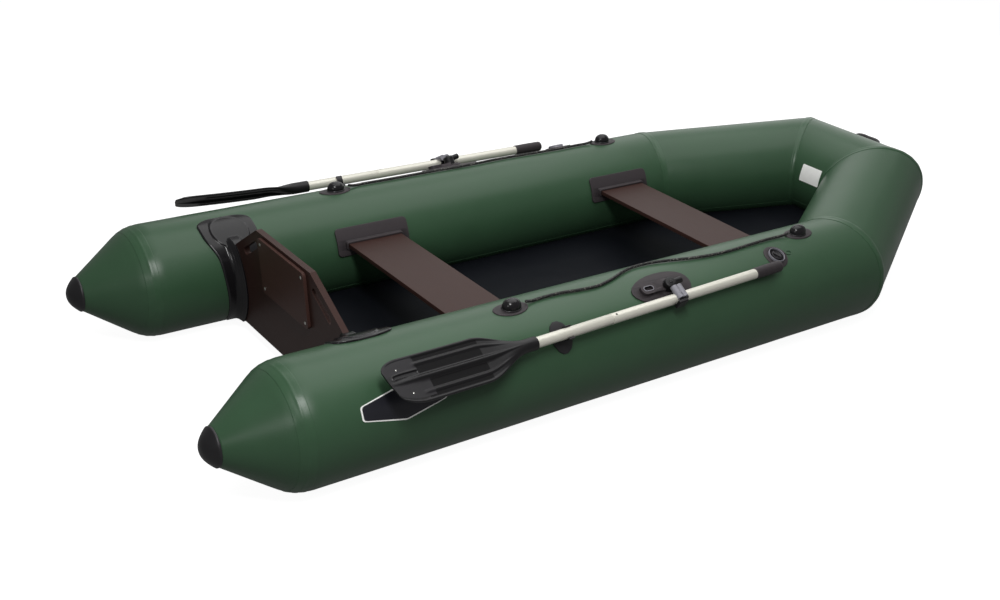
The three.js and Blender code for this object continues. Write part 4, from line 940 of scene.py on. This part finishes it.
def off_axis(point, span):
    """Distance from a point to the straight axis of a length of tube."""
    start, along, _ = along_span(span)
    away = point - start
    return (away - along * away.dot(along)).length


def floor_top(x):
    return FLOOR_TOP + (FRONT.z - BEND.z) * max(0.0, (x - BEND.x) / (FRONT.x - BEND.x))


def floor_edge(x):
    """Half width of the floor between the tubes, found by halving."""
    inside, outside = 0.0, TUBE_Y
    for _ in range(40):
        y = (inside + outside) / 2
        spot = Vector((x, -y, floor_top(x) - FLOOR_THICKNESS / 2))
        clear = min(off_axis(spot, span) for span in SPANS) > RADIUS + FLOOR_GAP
        inside, outside = (y, outside) if clear else (inside, y)
    return inside


def floor_tape(span, start):
    """Strip on the tube's inner side just above the floor."""
    level = math.asin((FLOOR_TOP - RADIUS) / RADIUS)
    turns = [level + FLOOR_TAPE_START + FLOOR_TAPE_SPAN * i / 6 for i in range(7)]
    length = along_span(span)[2]
    count = max(4, int(length / 0.02))
    rings = []
    for i in range(count + 1):
        distance = start + (length - start) * i / count
        outside = ring_on(span, distance, FLOOR_TAPE_HEIGHT, turns)
        rings.append(outside + ring_on(span, distance, -FLOOR_TAPE_SINK, turns)[::-1])
    return loft(rings)


class DINGHY_OT_floor(bpy.types.Operator):
    """Floor sheet with its faint waves, and the tape that joins it to the tubes"""

    bl_idname = "dinghy.floor"
    bl_label = "Floor"

    def execute(self, context):
        front = FLOOR_HIGH.x - FLOOR_SHORT
        rings = []
        for i in range(FLOOR_ROWS + 1):
            x = FLOOR_LOW.x + (front - FLOOR_LOW.x) * i / FLOOR_ROWS
            half = floor_edge(x)
            top = []
            for j in range(FLOOR_COLUMNS + 1):
                share = 2 * j / FLOOR_COLUMNS - 1
                spot = Vector((x, share * half, 0))
                fade = (1 - abs(share) ** 3) * min(1.0, i / 6, (FLOOR_ROWS - i) / 6)
                noise = field.noise(Vector((x * 2.2, spot.y * 5, 1))) + 0.4 * field.noise(spot * 12) - 0.35
                top.append((x, spot.y, floor_top(x) + FLOOR_WAVE * fade * noise))
            underside = [(px, py, pz - FLOOR_THICKNESS / 3) for px, py, pz in reversed(top)]
            rings.append(top + underside)
        make_piece("floor_sheet_fabric", loft(rings), "floor_fabric", node="floor_sheet", crease=50)
        aft = FLOOR_LOW.x + FLOOR_TAPE_INSET - CONE_X
        tapes = [floor_tape("side_tube", aft), floor_tape("bow_quarter", 0.0)]
        make_pair("floor_tape_{}", together(*tapes), "seam_tape")
        make_piece("floor_tape_front", floor_tape("bow_front", 0.0), "seam_tape")
        return {"FINISHED"}


# ---------- transom ----------
HOLDER_TOP, HOLDER_FOOT, BOSS_ANGLE = -9, -141, -31  # degrees round the tube, negative is inboard
HOLDER_WIDTH, WAIST_LOSS, FOOT_LOSS = 0.178, 0.044, 0.016
HOLDER_ROWS = 150
BOARD_RAKE = MOUNTS["motor_pad"].z / MOUNTS["motor_pad"].x
BOARD_HALF = 0.009
BOARD_MIDDLE = centre_of("transom_board")
BOARD_FOOT_X = BOARD_MIDDLE.x + BOARD_MIDDLE.z * BOARD_RAKE
SCREW_INSET_Y, SCREW_INSET_Z = 0.016, 0.018  # from a pad's edges to its screws


def pad_screws(pad, out):
    """Countersunk screws at the corners of a motor pad whose face looks out."""
    low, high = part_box(f"transom_pad_{pad}")
    lean = math.atan2(abs(out.z), abs(out.x))
    up = Vector((-math.sin(lean), 0, math.cos(lean)))
    thick = (high.x - low.x - (high.z - low.z) * math.tan(lean)) * math.cos(lean)
    profile = [(0.0, -0.002), (0.0052, -0.002), (0.0052, 0.0006), (0.0044, 0.0011), (0.0018, 0.0012)]
    profile += [(0.0012, 0.0004), (0.0, 0.0003)]
    reach_y, reach_z = (high.y - low.y) / 2 - SCREW_INSET_Y, (high.z - low.z) / 2 - SCREW_INSET_Z
    shapes = []
    for sy, sz in ((-1, -1), (-1, 1), (1, -1), (1, 1)):
        spot = (low + high) / 2 + Vector((0, sy * reach_y, 0)) + up * (sz * reach_z) + out * (thick / 2)
        shapes.append(placed(revolve(profile, 20), frame_at(spot, (0, 1, 0), out)))
    make_piece(f"transom_screws_{pad}", together(*shapes), "stainless_steel")


def holder_half(angle):
    """Half width of the holder's band at an angle round the tube."""
    run = min(1.0, (HOLDER_TOP - angle) / 13)
    corner = math.sqrt(max(0.05, 1 - (1 - run) ** 3))
    waist = 2 * BOSS_ANGLE
    width = HOLDER_WIDTH - WAIST_LOSS * ease(BOSS_ANGLE - angle, 0, BOSS_ANGLE - waist)
    return corner * (width - FOOT_LOSS * ease(waist - angle, 0, waist - HOLDER_FOOT)) / 2


def holder_height(angle, x, half):
    """Height over the tube: a thin band, a round boss with a raised rim, and mounds beside the board."""
    edge = min(half - abs(x), RADIUS * math.radians(min(HOLDER_TOP - angle, angle - HOLDER_FOOT)))
    rim = min(max(edge, 0) / 0.005, 1)
    band = 0.0054 * math.sqrt(max(0, 1 - (1 - rim) ** 2))
    away = math.hypot(x, RADIUS * math.radians(angle - BOSS_ANGLE))
    boss = 0.0028 * (1 - ease(away, 0.0585, 0.062)) + 0.0012 * ridge(away - 0.057, 0.0016)
    fade = ease(-34 - angle, 0, 18) * ease(angle - HOLDER_FOOT, 0, 8)
    beside = abs(x) - BOARD_HALF
    fall = min(max((beside - 0.0055) / 0.026, 0), 1)
    ribs = sum(0.0011 * ridge(beside - at, 0.0009) for at in (0.0045, 0.0105, 0.0165))
    return band + max(boss, fade * (0.022 * (1 - fall) ** 2.1 + ribs))


def transom_holder():
    """Moulded band round the tube that carries the end of the board."""
    offsets = [0.0] + [BOARD_HALF + 0.0012 * i for i in range(26)]
    rings = []
    for i in range(HOLDER_ROWS + 1):
        angle = HOLDER_TOP + (HOLDER_FOOT - HOLDER_TOP) * (i / HOLDER_ROWS) ** 1.15
        half = holder_half(angle)
        squeeze = min(1.0, (half - 0.008) / (offsets[-1] + 0.012))
        row = [x * squeeze for x in offsets]
        row += [row[-1] + (half - 0.0055 - row[-1]) * k / 14 for k in range(1, 15)]
        row += [half - 0.0035, half - 0.002, half - 0.0008, half]
        level = RADIUS + (RADIUS + 0.012) * math.cos(math.radians(angle))
        middle = BOARD_FOOT_X - level * BOARD_RAKE
        upper = [
            on_tube(middle + x, angle, holder_height(angle, x, half))
            for x in [-x for x in reversed(row)] + row[1:]
        ]
        rings.append(upper + [on_tube(middle + x, angle, -0.001) for x in (half, 0, -half)])
    return loft(rings)


class DINGHY_OT_transom(bpy.types.Operator):
    """Plywood board with its motor pads, their screws, and the holders round the tubes"""

    bl_idname = "dinghy.transom"
    bl_label = "Transom"

    def execute(self, context):
        rounding = context.scene.dinghy.fittings.edge_rounding
        rounded_copy("transom_board", "film_faced_plywood", rounding)
        for pad, mount in (("outer", "motor_pad"), ("inner", "motor_clamp_inner")):
            rounded_copy(f"transom_pad_{pad}", "motor_pad_plywood", rounding)
            pad_screws(pad, MOUNTS[mount])
        node = "transom_holder_{}"
        make_pair(f"{node}_moulding", transom_holder(), "gloss_moulding", node, crease=60)
        return {"FINISHED"}


class DINGHY_OT_thwarts(bpy.types.Operator):
    """Seat planks and the soft holders that carry their ends"""

    bl_idname = "dinghy.thwarts"
    bl_label = "Thwarts"

    def execute(self, context):
        for place in ("aft", "fore"):
            rounded_copy(f"thwart_{place}", "film_faced_plywood", context.scene.dinghy.fittings.edge_rounding)
            for name in SIDES:
                rounded_copy(f"thwart_holder_{place}_{name}", "grey_moulding", 0.0016)
        return {"FINISHED"}


# ---------- oars ----------
OAR_REAR = centre_of("oar_shaft_rear_starboard")
OAR_AHEAD = (centre_of("oar_shaft_front_starboard") - OAR_REAR).normalized()
BLADE_LOW, BLADE_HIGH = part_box("oar_blade_starboard")
OAR_BODY = "oar_{}"
SHAFT_RADIUS = 0.0155
SLIP = 0.0004
BLADE_LENGTH = BLADE_HIGH.x - BLADE_LOW.x
BLADE_WIDTH, BLADE_THICKNESS, BLADE_NECK = 0.132, 0.005, SHAFT_RADIUS + 0.0035
BLADE_LIFT = 0.018  # rise of the spoon's tip
BLADE_ROWS, BLADE_COLUMNS = 140, 100
PLAIN, POLISHED, MATT = 0, 1, 2  # finishes of the blade's upper face


def on_oar(x):
    return OAR_REAR + OAR_AHEAD * ((x - OAR_REAR.x) / OAR_AHEAD.x)


def shaft_place(x):
    """Matrix whose Z runs forward along the oar."""
    return frame_at(on_oar(x), (0, -0.7, 0.7), OAR_AHEAD)


def blade_half(share, inboard):
    """Half width of the blade; its inboard tip corner is the squarer one."""
    half = BLADE_WIDTH / 2
    least, run = (0.6, 0.11) if inboard else (0.36, 0.2)
    if share < run:
        return half * (least + (1 - least) * math.sqrt(1 - (1 - share / run) ** 2))
    return half + (BLADE_NECK - half) * ease(share, 0.6, 0.93)


def blade_faces(share, across):
    """Upper and lower face of the blade at shares of its length and of its half width."""
    wide = abs(across)
    tubular = ease(share, 0.66, 0.9)
    spine = 0.009 * min(1, share / 0.2) * max(0, 1 - (across / 0.13) ** 2)
    fade = ease(share, 0.17, 0.22) * (1 - tubular)
    rib = 0.0038 * fade * max(0, 1 - ((wide - 0.6) / 0.09) ** 2)
    lip = 0.002 * ease(wide, 0.88, 0.94) * (1 - tubular) * ease(share, 0.02, 0.05)
    sunk = 0.0012 * fade * (ease(wide, 0.14, 0.18) - ease(wide, 0.84, 0.88))
    # long slot near the tip, in a raised ring
    end = max(abs(share - 0.12) - 0.073, 0) * 0.464
    off = math.hypot((across - 0.26) * BLADE_WIDTH / 2, end)
    slot = 0.0018 * ridge(off - 0.0075, 0.0018) - 0.0022 * (1 - ease(off, 0.0035, 0.0055))
    flat = BLADE_THICKNESS / 2 * math.sqrt(max(0.02, 1 - wide**12))
    barrel = BLADE_NECK * math.sqrt(max(0, 1 - across * across)) * tubular
    upper = (flat + max(spine, rib) + lip - sunk + slot) * (1 - tubular) + barrel
    lower = (flat + spine * 0.8 + rib * 0.7) * (1 - tubular) + barrel
    lift = BLADE_LIFT * max(0, 1 - share / 0.8) ** 1.5
    return lift + upper, lift - lower


def blade_zone(share, across):
    """Which finish a place on the upper face has."""
    if share < (0.19 if across > 0.42 else 0.245) and (across > 0.42 or -0.8 < across < -0.1):
        return MATT
    wide = abs(across)
    return POLISHED if 0.2 < share < 0.64 and (0.16 < wide < 0.5 or 0.7 < wide < 0.88) else PLAIN


def oar_blade():
    """The blade's skin, and the finish of each of its faces."""
    rings, zones = [], []
    for i in range(BLADE_ROWS + 1):
        share = (i / BLADE_ROWS) ** 1.15
        upper, lower = [], []
        for j in range(BLADE_COLUMNS + 1):
            across = -math.cos(math.pi * j / BLADE_COLUMNS)
            slant = (0.004 - 0.008 * across) * max(0, 1 - share / 0.2)
            x, y = share * BLADE_LENGTH + slant, blade_half(share, across > 0) * across
            high, low = blade_faces(share, across)
            upper.append(Vector((x, y, high)))
            lower.append(Vector((x, y, low)))
            zones.append(blade_zone(share, across) if j < BLADE_COLUMNS else PLAIN)
        zones += [PLAIN] * (BLADE_COLUMNS - 1)
        rings.append(upper + lower[-2:0:-1])
    return loft(rings), zones


def rivets(lie):
    """Two small rivets near the tip of a blade that lies in a matrix."""
    head = [(0.0, -0.002), (0.0024, -0.002), (0.0024, 0.0004), (0.0014, 0.0011), (0.0, 0.0013)]
    shapes = []
    for share, across in ((0.078, 0.54), (0.116, -0.55)):
        y, high = across * blade_half(share, across > 0), blade_faces(share, across)[0]
        spot = Matrix.Translation((share * BLADE_LENGTH, y, high))
        shapes.append(placed(revolve(head, 20), lie @ spot))
    return together(*shapes)


def make_shafts():
    """Both parts of each shaft, the ring over their joint and the push button."""
    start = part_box("oar_shaft_rear_starboard")[0].x + 0.001
    joint = (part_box("oar_shaft_rear_starboard")[1].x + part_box("oar_shaft_front_starboard")[0].x) / 2
    front_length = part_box("oar_shaft_front_starboard")[1].x - 0.001 - joint
    rear_length = joint - start
    r = SHAFT_RADIUS
    rear = [(0.0, 0.0), (r, 0.0), (r, rear_length - 0.003), (r - 0.001, rear_length - 0.001)]
    rear += [(0.0, rear_length - 0.001)]
    front = [(0.0, 0.0), (r - 0.001, 0.0), (r, 0.001), (r, front_length), (0.0, front_length)]
    ring = [(0.0, -0.0022), (r + 0.0001, -0.002), (r + 0.0006, 0.0), (r + 0.0001, 0.002), (0.0, 0.0022)]
    hole = [(0.0, -0.002), (0.0032, -0.002), (0.0032, 0.0002), (0.0, 0.0002)]
    out = Vector((0, -0.35, 0.94)).normalized()
    button = frame_at(on_oar(joint + 0.013) + out * r, (1, 0, 0), out)
    for part, profile, x in (("rear", rear, start), ("front", front, joint)):
        tube = placed(revolve(profile, 64), shaft_place(x))
        node = f"oar_shaft_{part}_{{}}"
        make_pair(f"{node}_tube", tube, "anodised_shaft", node, OAR_BODY)
    make_pair("oar_joint_ring_{}", placed(revolve(ring), shaft_place(joint)), "anodised_shaft", body=OAR_BODY)
    make_pair("oar_button_{}", placed(revolve(hole, 20), button), "deep_black_nylon", body=OAR_BODY)


def oar_grip():
    """Soft sleeve with four swellings for the fingers."""
    low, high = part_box("oar_grip_starboard")
    length = high.x - low.x - 0.001
    outer = SHAFT_RADIUS + SLIP + 0.0016
    profile = [(SHAFT_RADIUS + 0.0002, 0.0), (outer - 0.0006, 0.0), (outer, 0.001), (outer, 0.004)]
    steps = 60
    for i in range(steps + 1):
        share = i / steps
        swellings = 0.00036 * (0.5 - 0.5 * math.cos(8 * math.pi * share)) * ease(share, 0.1, 0.2)
        barrel = 0.00032 * math.sin(math.pi * share)
        profile.append((outer + barrel + swellings, 0.006 + share * (length - 0.016)))
    profile += [(outer, length - 0.008), (outer - 0.001, length - 0.004), (outer - 0.004, length - 0.0008)]
    profile += [(outer - 0.007, length), (0.0, length)]
    return placed(revolve(profile), shaft_place(low.x + 0.0005))


class DINGHY_OT_oars(bpy.types.Operator):
    """Blades, two-part shafts and grips"""

    bl_idname = "dinghy.oars"
    bl_label = "Oars"

    def execute(self, context):
        roll = context.scene.dinghy.oars.blade_roll
        across = Vector((0, math.cos(roll), math.sin(roll)))
        lie = frame_at(on_oar(BLADE_LOW.x), OAR_AHEAD, OAR_AHEAD.cross(across))
        blade, zones = oar_blade()
        node = "oar_blade_{}"
        for piece in make_pair(
            f"{node}_moulding", placed(blade, lie), "black_nylon", node, OAR_BODY, crease=50
        ):
            piece.data.materials.append(material_for("deep_black_nylon"))
            piece.data.materials.append(material_for("matt_black_nylon"))
            for face, zone in zip(piece.data.polygons, zones):
                face.material_index = zone
        make_pair(
            "oar_blade_rivets_{}", rivets(lie), "stainless_steel", body=OAR_BODY, slot="moulded_black"
        )
        make_shafts()
        make_pair("oar_grip_{}_sleeve", oar_grip(), "grey_moulding", "oar_grip_{}", OAR_BODY, crease=50)
        return {"FINISHED"}


# ---------- oarlocks ----------
PIVOT = {joint["child"]: joint for joint in frame["joints"]}["oar_starboard"]
PIN_POINT, POST_AXIS = Vector(PIVOT["pos_m"]), Vector(PIVOT["axis"])
PIN_TILT = math.radians(30)
PIN = Vector((0, -math.cos(PIN_TILT), -math.sin(PIN_TILT)))
# on the pin: X forward along the oar, Y away from the tube, Z outboard to the oar
PIN_FRAME = axes_at(PIN_POINT, OAR_AHEAD, PIN.cross(OAR_AHEAD), PIN)
POST_FRAME = axes_at(PIN_POINT, PIN, POST_AXIS.cross(PIN), POST_AXIS)
OAR_REACH = 0.052  # from the post to the oar
LOCK_ANGLE = 27  # degrees round the tube, outboard of its top
EYE_SETBACK, EYE_HEIGHT = 0.066, 0.0138  # the base's eye, aft of the post and over the tube
EYE_LENGTH, EYE_WIDTH, EYE_RIM = 0.034, 0.016, 0.0026
RING_RADIUS, RING_HALF = 0.0215, 0.014
BARREL_START, BARREL_END, BARREL_RADIUS, BARREL_RISE = 0.0195, 0.063, 0.0106, 0.0145
BARREL_PLACES = (0.009, -0.0085)


def on_pin(shape, x, y, z):
    return placed(shape, PIN_FRAME @ Matrix.Translation((x, y, z)))


def eye_rim():
    """Bead round the eye in the oarlock's base; its pale grey is a painted highlight on a black rim."""
    outline = rounded_rectangle(EYE_LENGTH, EYE_WIDTH, 0.0075)
    bead = sweep([Vector((x, y, 0)) for x, y in outline + outline[:1]], circle(EYE_RIM / 2, 8))
    return placed(bead, tube_place(PIN_POINT.x - EYE_SETBACK, LOCK_ANGLE, EYE_HEIGHT))


def collar_ring():
    """Ring round the shaft."""
    bore, rim, half = SHAFT_RADIUS + SLIP, RING_RADIUS, RING_HALF
    profile = [(bore, -half), (rim - 0.001, -half), (rim, -half + 0.001), (rim, half - 0.001)]
    profile += [(rim - 0.001, half), (bore, half)]
    turned = Matrix.Translation((0.002, 0, OAR_REACH)) @ Matrix.Rotation(math.pi / 2, 4, "Y")
    return placed(revolve(profile, 56, closed=True), PIN_FRAME @ turned)


def collar_barrels():
    """The double barrel that rides on the pin, and the web between."""
    start, end, r = BARREL_START, BARREL_END, BARREL_RADIUS
    profile = [(0.0, start), (r - 0.001, start), (r, start + 0.001), (r, end - 0.0012)]
    profile += [(r - 0.0012, end), (0.0, end)]
    web = on_pin(rounded_box(0.017, 0.013, end - start - 0.004, 0.002), 0.0, 0.013, (start + end) / 2)
    return together(*[on_pin(revolve(profile, 40), x, BARREL_RISE, 0) for x in BARREL_PLACES], web)


def collar_bolt():
    """Nut on the end of one barrel, and the block that closes the ring."""
    nut = [(0.0, 0.0), (0.0094, 0.0), (0.0103, 0.0012), (0.0103, 0.005), (0.009, 0.0062), (0.0, 0.0062)]
    return together(
        on_pin(revolve(nut, 6), BARREL_PLACES[0], BARREL_RISE, BARREL_END - 0.0005),
        on_pin(rounded_box(0.036, 0.032, 0.011, 0.005), -0.010, 0.008, OAR_REACH + RING_RADIUS + 0.001),
    )


class DINGHY_OT_oarlocks(bpy.types.Operator):
    """Bases, turning posts and the collars that hold the oars"""

    bl_idname = "dinghy.oarlocks"
    bl_label = "Oarlocks"

    def execute(self, context):
        # a flat near-black disc on the base paints the shade of a hole in it
        hole = revolve([(0.0, -0.002), (0.0026, -0.002), (0.0026, 0.0003), (0.0, 0.0002)], 20)
        hole = placed(hole, POST_FRAME @ Matrix.Translation((-0.0208, 0.0, -0.0172)))
        for name in SIDES:
            rounded_copy(f"oarlock_base_{name}", "grey_moulding", 0.0012)
            rounded_copy(f"oarlock_swivel_{name}", "black_nylon", 0.0008, OAR_BODY.format(name))
        make_pair("oarlock_eye_{}", eye_rim(), "grey_nylon", crease=60)
        make_pair("oarlock_hole_{}", hole, "deep_black_nylon", slot="moulded_grey")
        node = "oar_collar_{}"
        make_pair(f"{node}_ring", collar_ring(), "black_nylon", node, OAR_BODY, slot="moulded_grey")
        make_pair(f"{node}_barrels", collar_barrels(), "grey_nylon", body=OAR_BODY)
        make_pair(
            f"{node}_bolt_block", collar_bolt(), "black_nylon", body=OAR_BODY, slot="moulded_grey",
            crease=30, bevel=0.0006,
        )
        return {"FINISHED"}


class DINGHY_OT_clips(bpy.types.Operator):
    """Clips that hold the stowed oars"""

    bl_idname = "dinghy.clips"
    bl_label = "Oar clips"

    def execute(self, context):
        for name in SIDES:
            rounded_copy(f"oar_clip_{name}", "black_moulding", 0.001)
        return {"FINISHED"}


# ---------- rope holders, valves and bow fittings ----------
ROPE_HOLDER_ANGLE, VALVE_ANGLE, PANEL_ANGLE = 4, 27, 64  # degrees outboard of the tube's top
DOME_LENGTH, DOME_WIDTH, DOME_HEIGHT, DOME_FOOT = 0.059, 0.04606, 0.031, 0.0055
DOME_SHIFT = 0.003  # towards the rope, from the patch's middle
ROPE_PATCH_LENGTH, ROPE_PATCH_WIDTH, ROPE_PATCH_HEIGHT = 0.112, 0.064, 0.0035
VALVE_WIDTH, VALVE_HEIGHT = 0.084, 0.0025
CAP_TURN = math.radians(35)  # from the boat's length to the bar on the valve's cap
PANEL_CORNER = 0.008
PANEL_BORDER = 0.0042


def rope_dome():
    """A dome of unit radius with a bead round its foot."""
    steps = 20
    profile = [(0.0, -0.001), (1.08, -0.001), (1.09, 0.0025), (1.07, 0.0046), (1.03, DOME_FOOT)]
    for i in range(steps + 1):
        turn = math.pi / 2 * i / steps
        height = DOME_FOOT + (DOME_HEIGHT - DOME_FOOT) * math.sin(turn) ** 0.9
        profile.append((math.cos(turn) ** 0.85, height))
    return revolve(profile, 64)


class DINGHY_OT_rope_holders(bpy.types.Operator):
    """Domed holders at the ends of the lifelines"""

    bl_idname = "dinghy.rope_holders"
    bl_label = "Rope holders"

    def execute(self, context):
        for end, facing in (("rear", 1), ("front", -1)):
            x = centre_of(f"rope_holder_{end}_starboard").x
            outline = ellipse(ROPE_PATCH_LENGTH, ROPE_PATCH_WIDTH, 72)
            base = patch(outline, x, ROPE_HOLDER_ANGLE, soft_edge(ROPE_PATCH_HEIGHT, 0.024))
            lie = tube_place(x + DOME_SHIFT * facing, ROPE_HOLDER_ANGLE)
            dome = placed(rope_dome(), lie @ Matrix.Diagonal((DOME_LENGTH / 2, DOME_WIDTH / 2, 1, 1)))
            node = f"rope_holder_{end}_{{}}"
            make_pair(f"{node}_base", base, "grey_moulding", node, slot="moulded_black", crease=50)
            make_pair(f"{node}_dome", dome, "gloss_moulding", crease=50)
        return {"FINISHED"}


class DINGHY_OT_valves(bpy.types.Operator):
    """Inflation valves in their rings"""

    bl_idname = "dinghy.valves"
    bl_label = "Valves"

    def execute(self, context):
        x = centre_of("valve_starboard").x
        lie = tube_place(x, VALVE_ANGLE)
        flange = patch(circle(VALVE_WIDTH / 2, 64), x, VALVE_ANGLE, soft_edge(VALVE_HEIGHT, 0.038))
        # the ring is black plastic; its pale grey is a painted highlight on its rim
        rim = [(0.0248, 0.001), (0.0275, -0.001), (0.0275, 0.0078), (0.027, 0.0092), (0.0262, 0.0098)]
        rim += [(0.0254, 0.0094), (0.0249, 0.0084), (0.0248, 0.007)]
        # the well's near-black is partly the valve's own black and partly painted shade inside the ring
        well = revolve([(0.0, 0.001), (0.0252, 0.001), (0.0252, 0.0034), (0.0, 0.0034)])
        cap = [(0.0, 0.002), (0.017, 0.002), (0.017, 0.0062), (0.0162, 0.0074), (0.0145, 0.0078)]
        cap += [(0.0128, 0.0066), (0.0, 0.0062)]
        bar = placed(rounded_box(0.007, 0.029, 0.004, 0.002), Matrix.Translation((0.0, 0.0, 0.0078)))
        cap = placed(together(revolve(cap), bar), lie @ Matrix.Rotation(CAP_TURN, 4, "Z"))
        cord = [Vector((0.056 + 0.011 * math.cos(t), 0.0075 * math.sin(t), 0.0011)) for t in circle_turns(32)]
        cord = sweep(cord + cord[:1], circle(0.0011, 8))
        for part, shape, finish, node, crease in (
            ("flange", flange, "grey_moulding", "valve_{}", 50),
            ("ring", placed(revolve(rim, 64, closed=True), lie), "grey_nylon", "", 50),
            ("well", placed(well, lie), "deep_black_nylon", "", 40),
            ("cap", cap, "black_moulding", "", 40),
            ("loop", placed(cord, lie), "seam_tape", "", 40),
        ):
            make_pair("valve_{}_" + part, shape, finish, node, slot="moulded_black", crease=crease)
        return {"FINISHED"}


def panel_outline(half):
    """Long six-sided outline with rounded corners."""
    corners = [(half, 0.019), (0.0, 0.046), (-half, 0.019), (-half, -0.019), (0.0, -0.046), (half, -0.019)]
    corners = [Vector(corner) for corner in corners]
    outline = []
    for i, corner in enumerate(corners):
        near = [
            corner.lerp(other, PANEL_CORNER / (other - corner).length)
            for other in (corners[i - 1], corners[(i + 1) % 6])
        ]
        for k in range(7):
            t = k / 6
            outline.append(tuple(near[0] * (1 - t) ** 2 + corner * (2 * t * (1 - t)) + near[1] * t**2))
    return dense(outline, 0.01)


def on_panel(x, outline, foot, top):
    """A thin plate on the tube with its rim at the foot's height and its face at the top's."""
    rows = [(1.0, foot)] + [(share, top) for share in (1.0, 0.95, 0.85, 0.7, 0.5, 0.3, 0.1, 0.01)]
    return loft(
        [[wrapped(x, PANEL_ANGLE, px * k, py * k, height) for px, py in outline] for k, height in rows]
    )


class DINGHY_OT_bow_fittings(bpy.types.Operator):
    """Towing handle and blank label on the bow, and the blank panel on the starboard tube"""

    bl_idname = "dinghy.bow_fittings"
    bl_label = "Bow fittings and panel"

    def execute(self, context):
        rounded_copy("bow_handle", "black_moulding", 0.001)
        rounded_copy("bow_label", "white_vinyl")
        low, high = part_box("side_panel")
        x, half = (low.x + high.x) / 2, (high.x - low.x) / 2 - 0.0005
        outline = panel_outline(half)
        inner = [(px * (1 - PANEL_BORDER / half), py * 0.91) for px, py in outline]
        border = on_panel(x, outline, -0.0005, 0.0007)
        make_piece("side_panel_border", border, "white_vinyl", node="side_panel", slot="panel_black")
        make_piece("side_panel_field", on_panel(x, inner, 0.0002, 0.001), "black_vinyl")
        return {"FINISHED"}


# ---------- panel ----------
STEPS = (
    DINGHY_OT_stage,
    DINGHY_OT_lifelines,
    DINGHY_OT_tubes,
    DINGHY_OT_stern_caps,
    DINGHY_OT_floor,
    DINGHY_OT_transom,
    DINGHY_OT_thwarts,
    DINGHY_OT_oars,
    DINGHY_OT_oarlocks,
    DINGHY_OT_clips,
    DINGHY_OT_rope_holders,
    DINGHY_OT_valves,
    DINGHY_OT_bow_fittings,
)


class DINGHY_PT_finishes(bpy.types.Panel):
    """Settings and building steps of the dinghy"""

    bl_idname = "DINGHY_PT_finishes"
    bl_label = "Inflatable Dinghy"
    bl_space_type = "VIEW_3D"
    bl_region_type = "UI"
    bl_category = "Dinghy"

    def draw(self, context):
        settings = context.scene.dinghy
        for title in ("hull", "fittings", "oars", "stage"):
            group = getattr(settings, title)
            box = self.layout.box()
            box.label(text=title.capitalize())
            for name in group.__annotations__:
                box.prop(group, name)
        for step in STEPS:
            self.layout.operator(step.bl_idname)


GROUPS = (HullSettings, FittingSettings, OarSettings, StageSettings, DinghySettings)
CLASSES = (*GROUPS, *STEPS, DINGHY_PT_finishes)


def register():
    for each in CLASSES:
        bpy.utils.register_class(each)
    bpy.types.Scene.dinghy = bpy.props.PointerProperty(type=DinghySettings)


def unregister():
    del bpy.types.Scene.dinghy
    for each in reversed(CLASSES):
        bpy.utils.unregister_class(each)


def main():
    register()
    for step in STEPS:
        getattr(bpy.ops.dinghy, step.bl_idname.split(".")[1])()


if __name__ == "__main__":
    main()
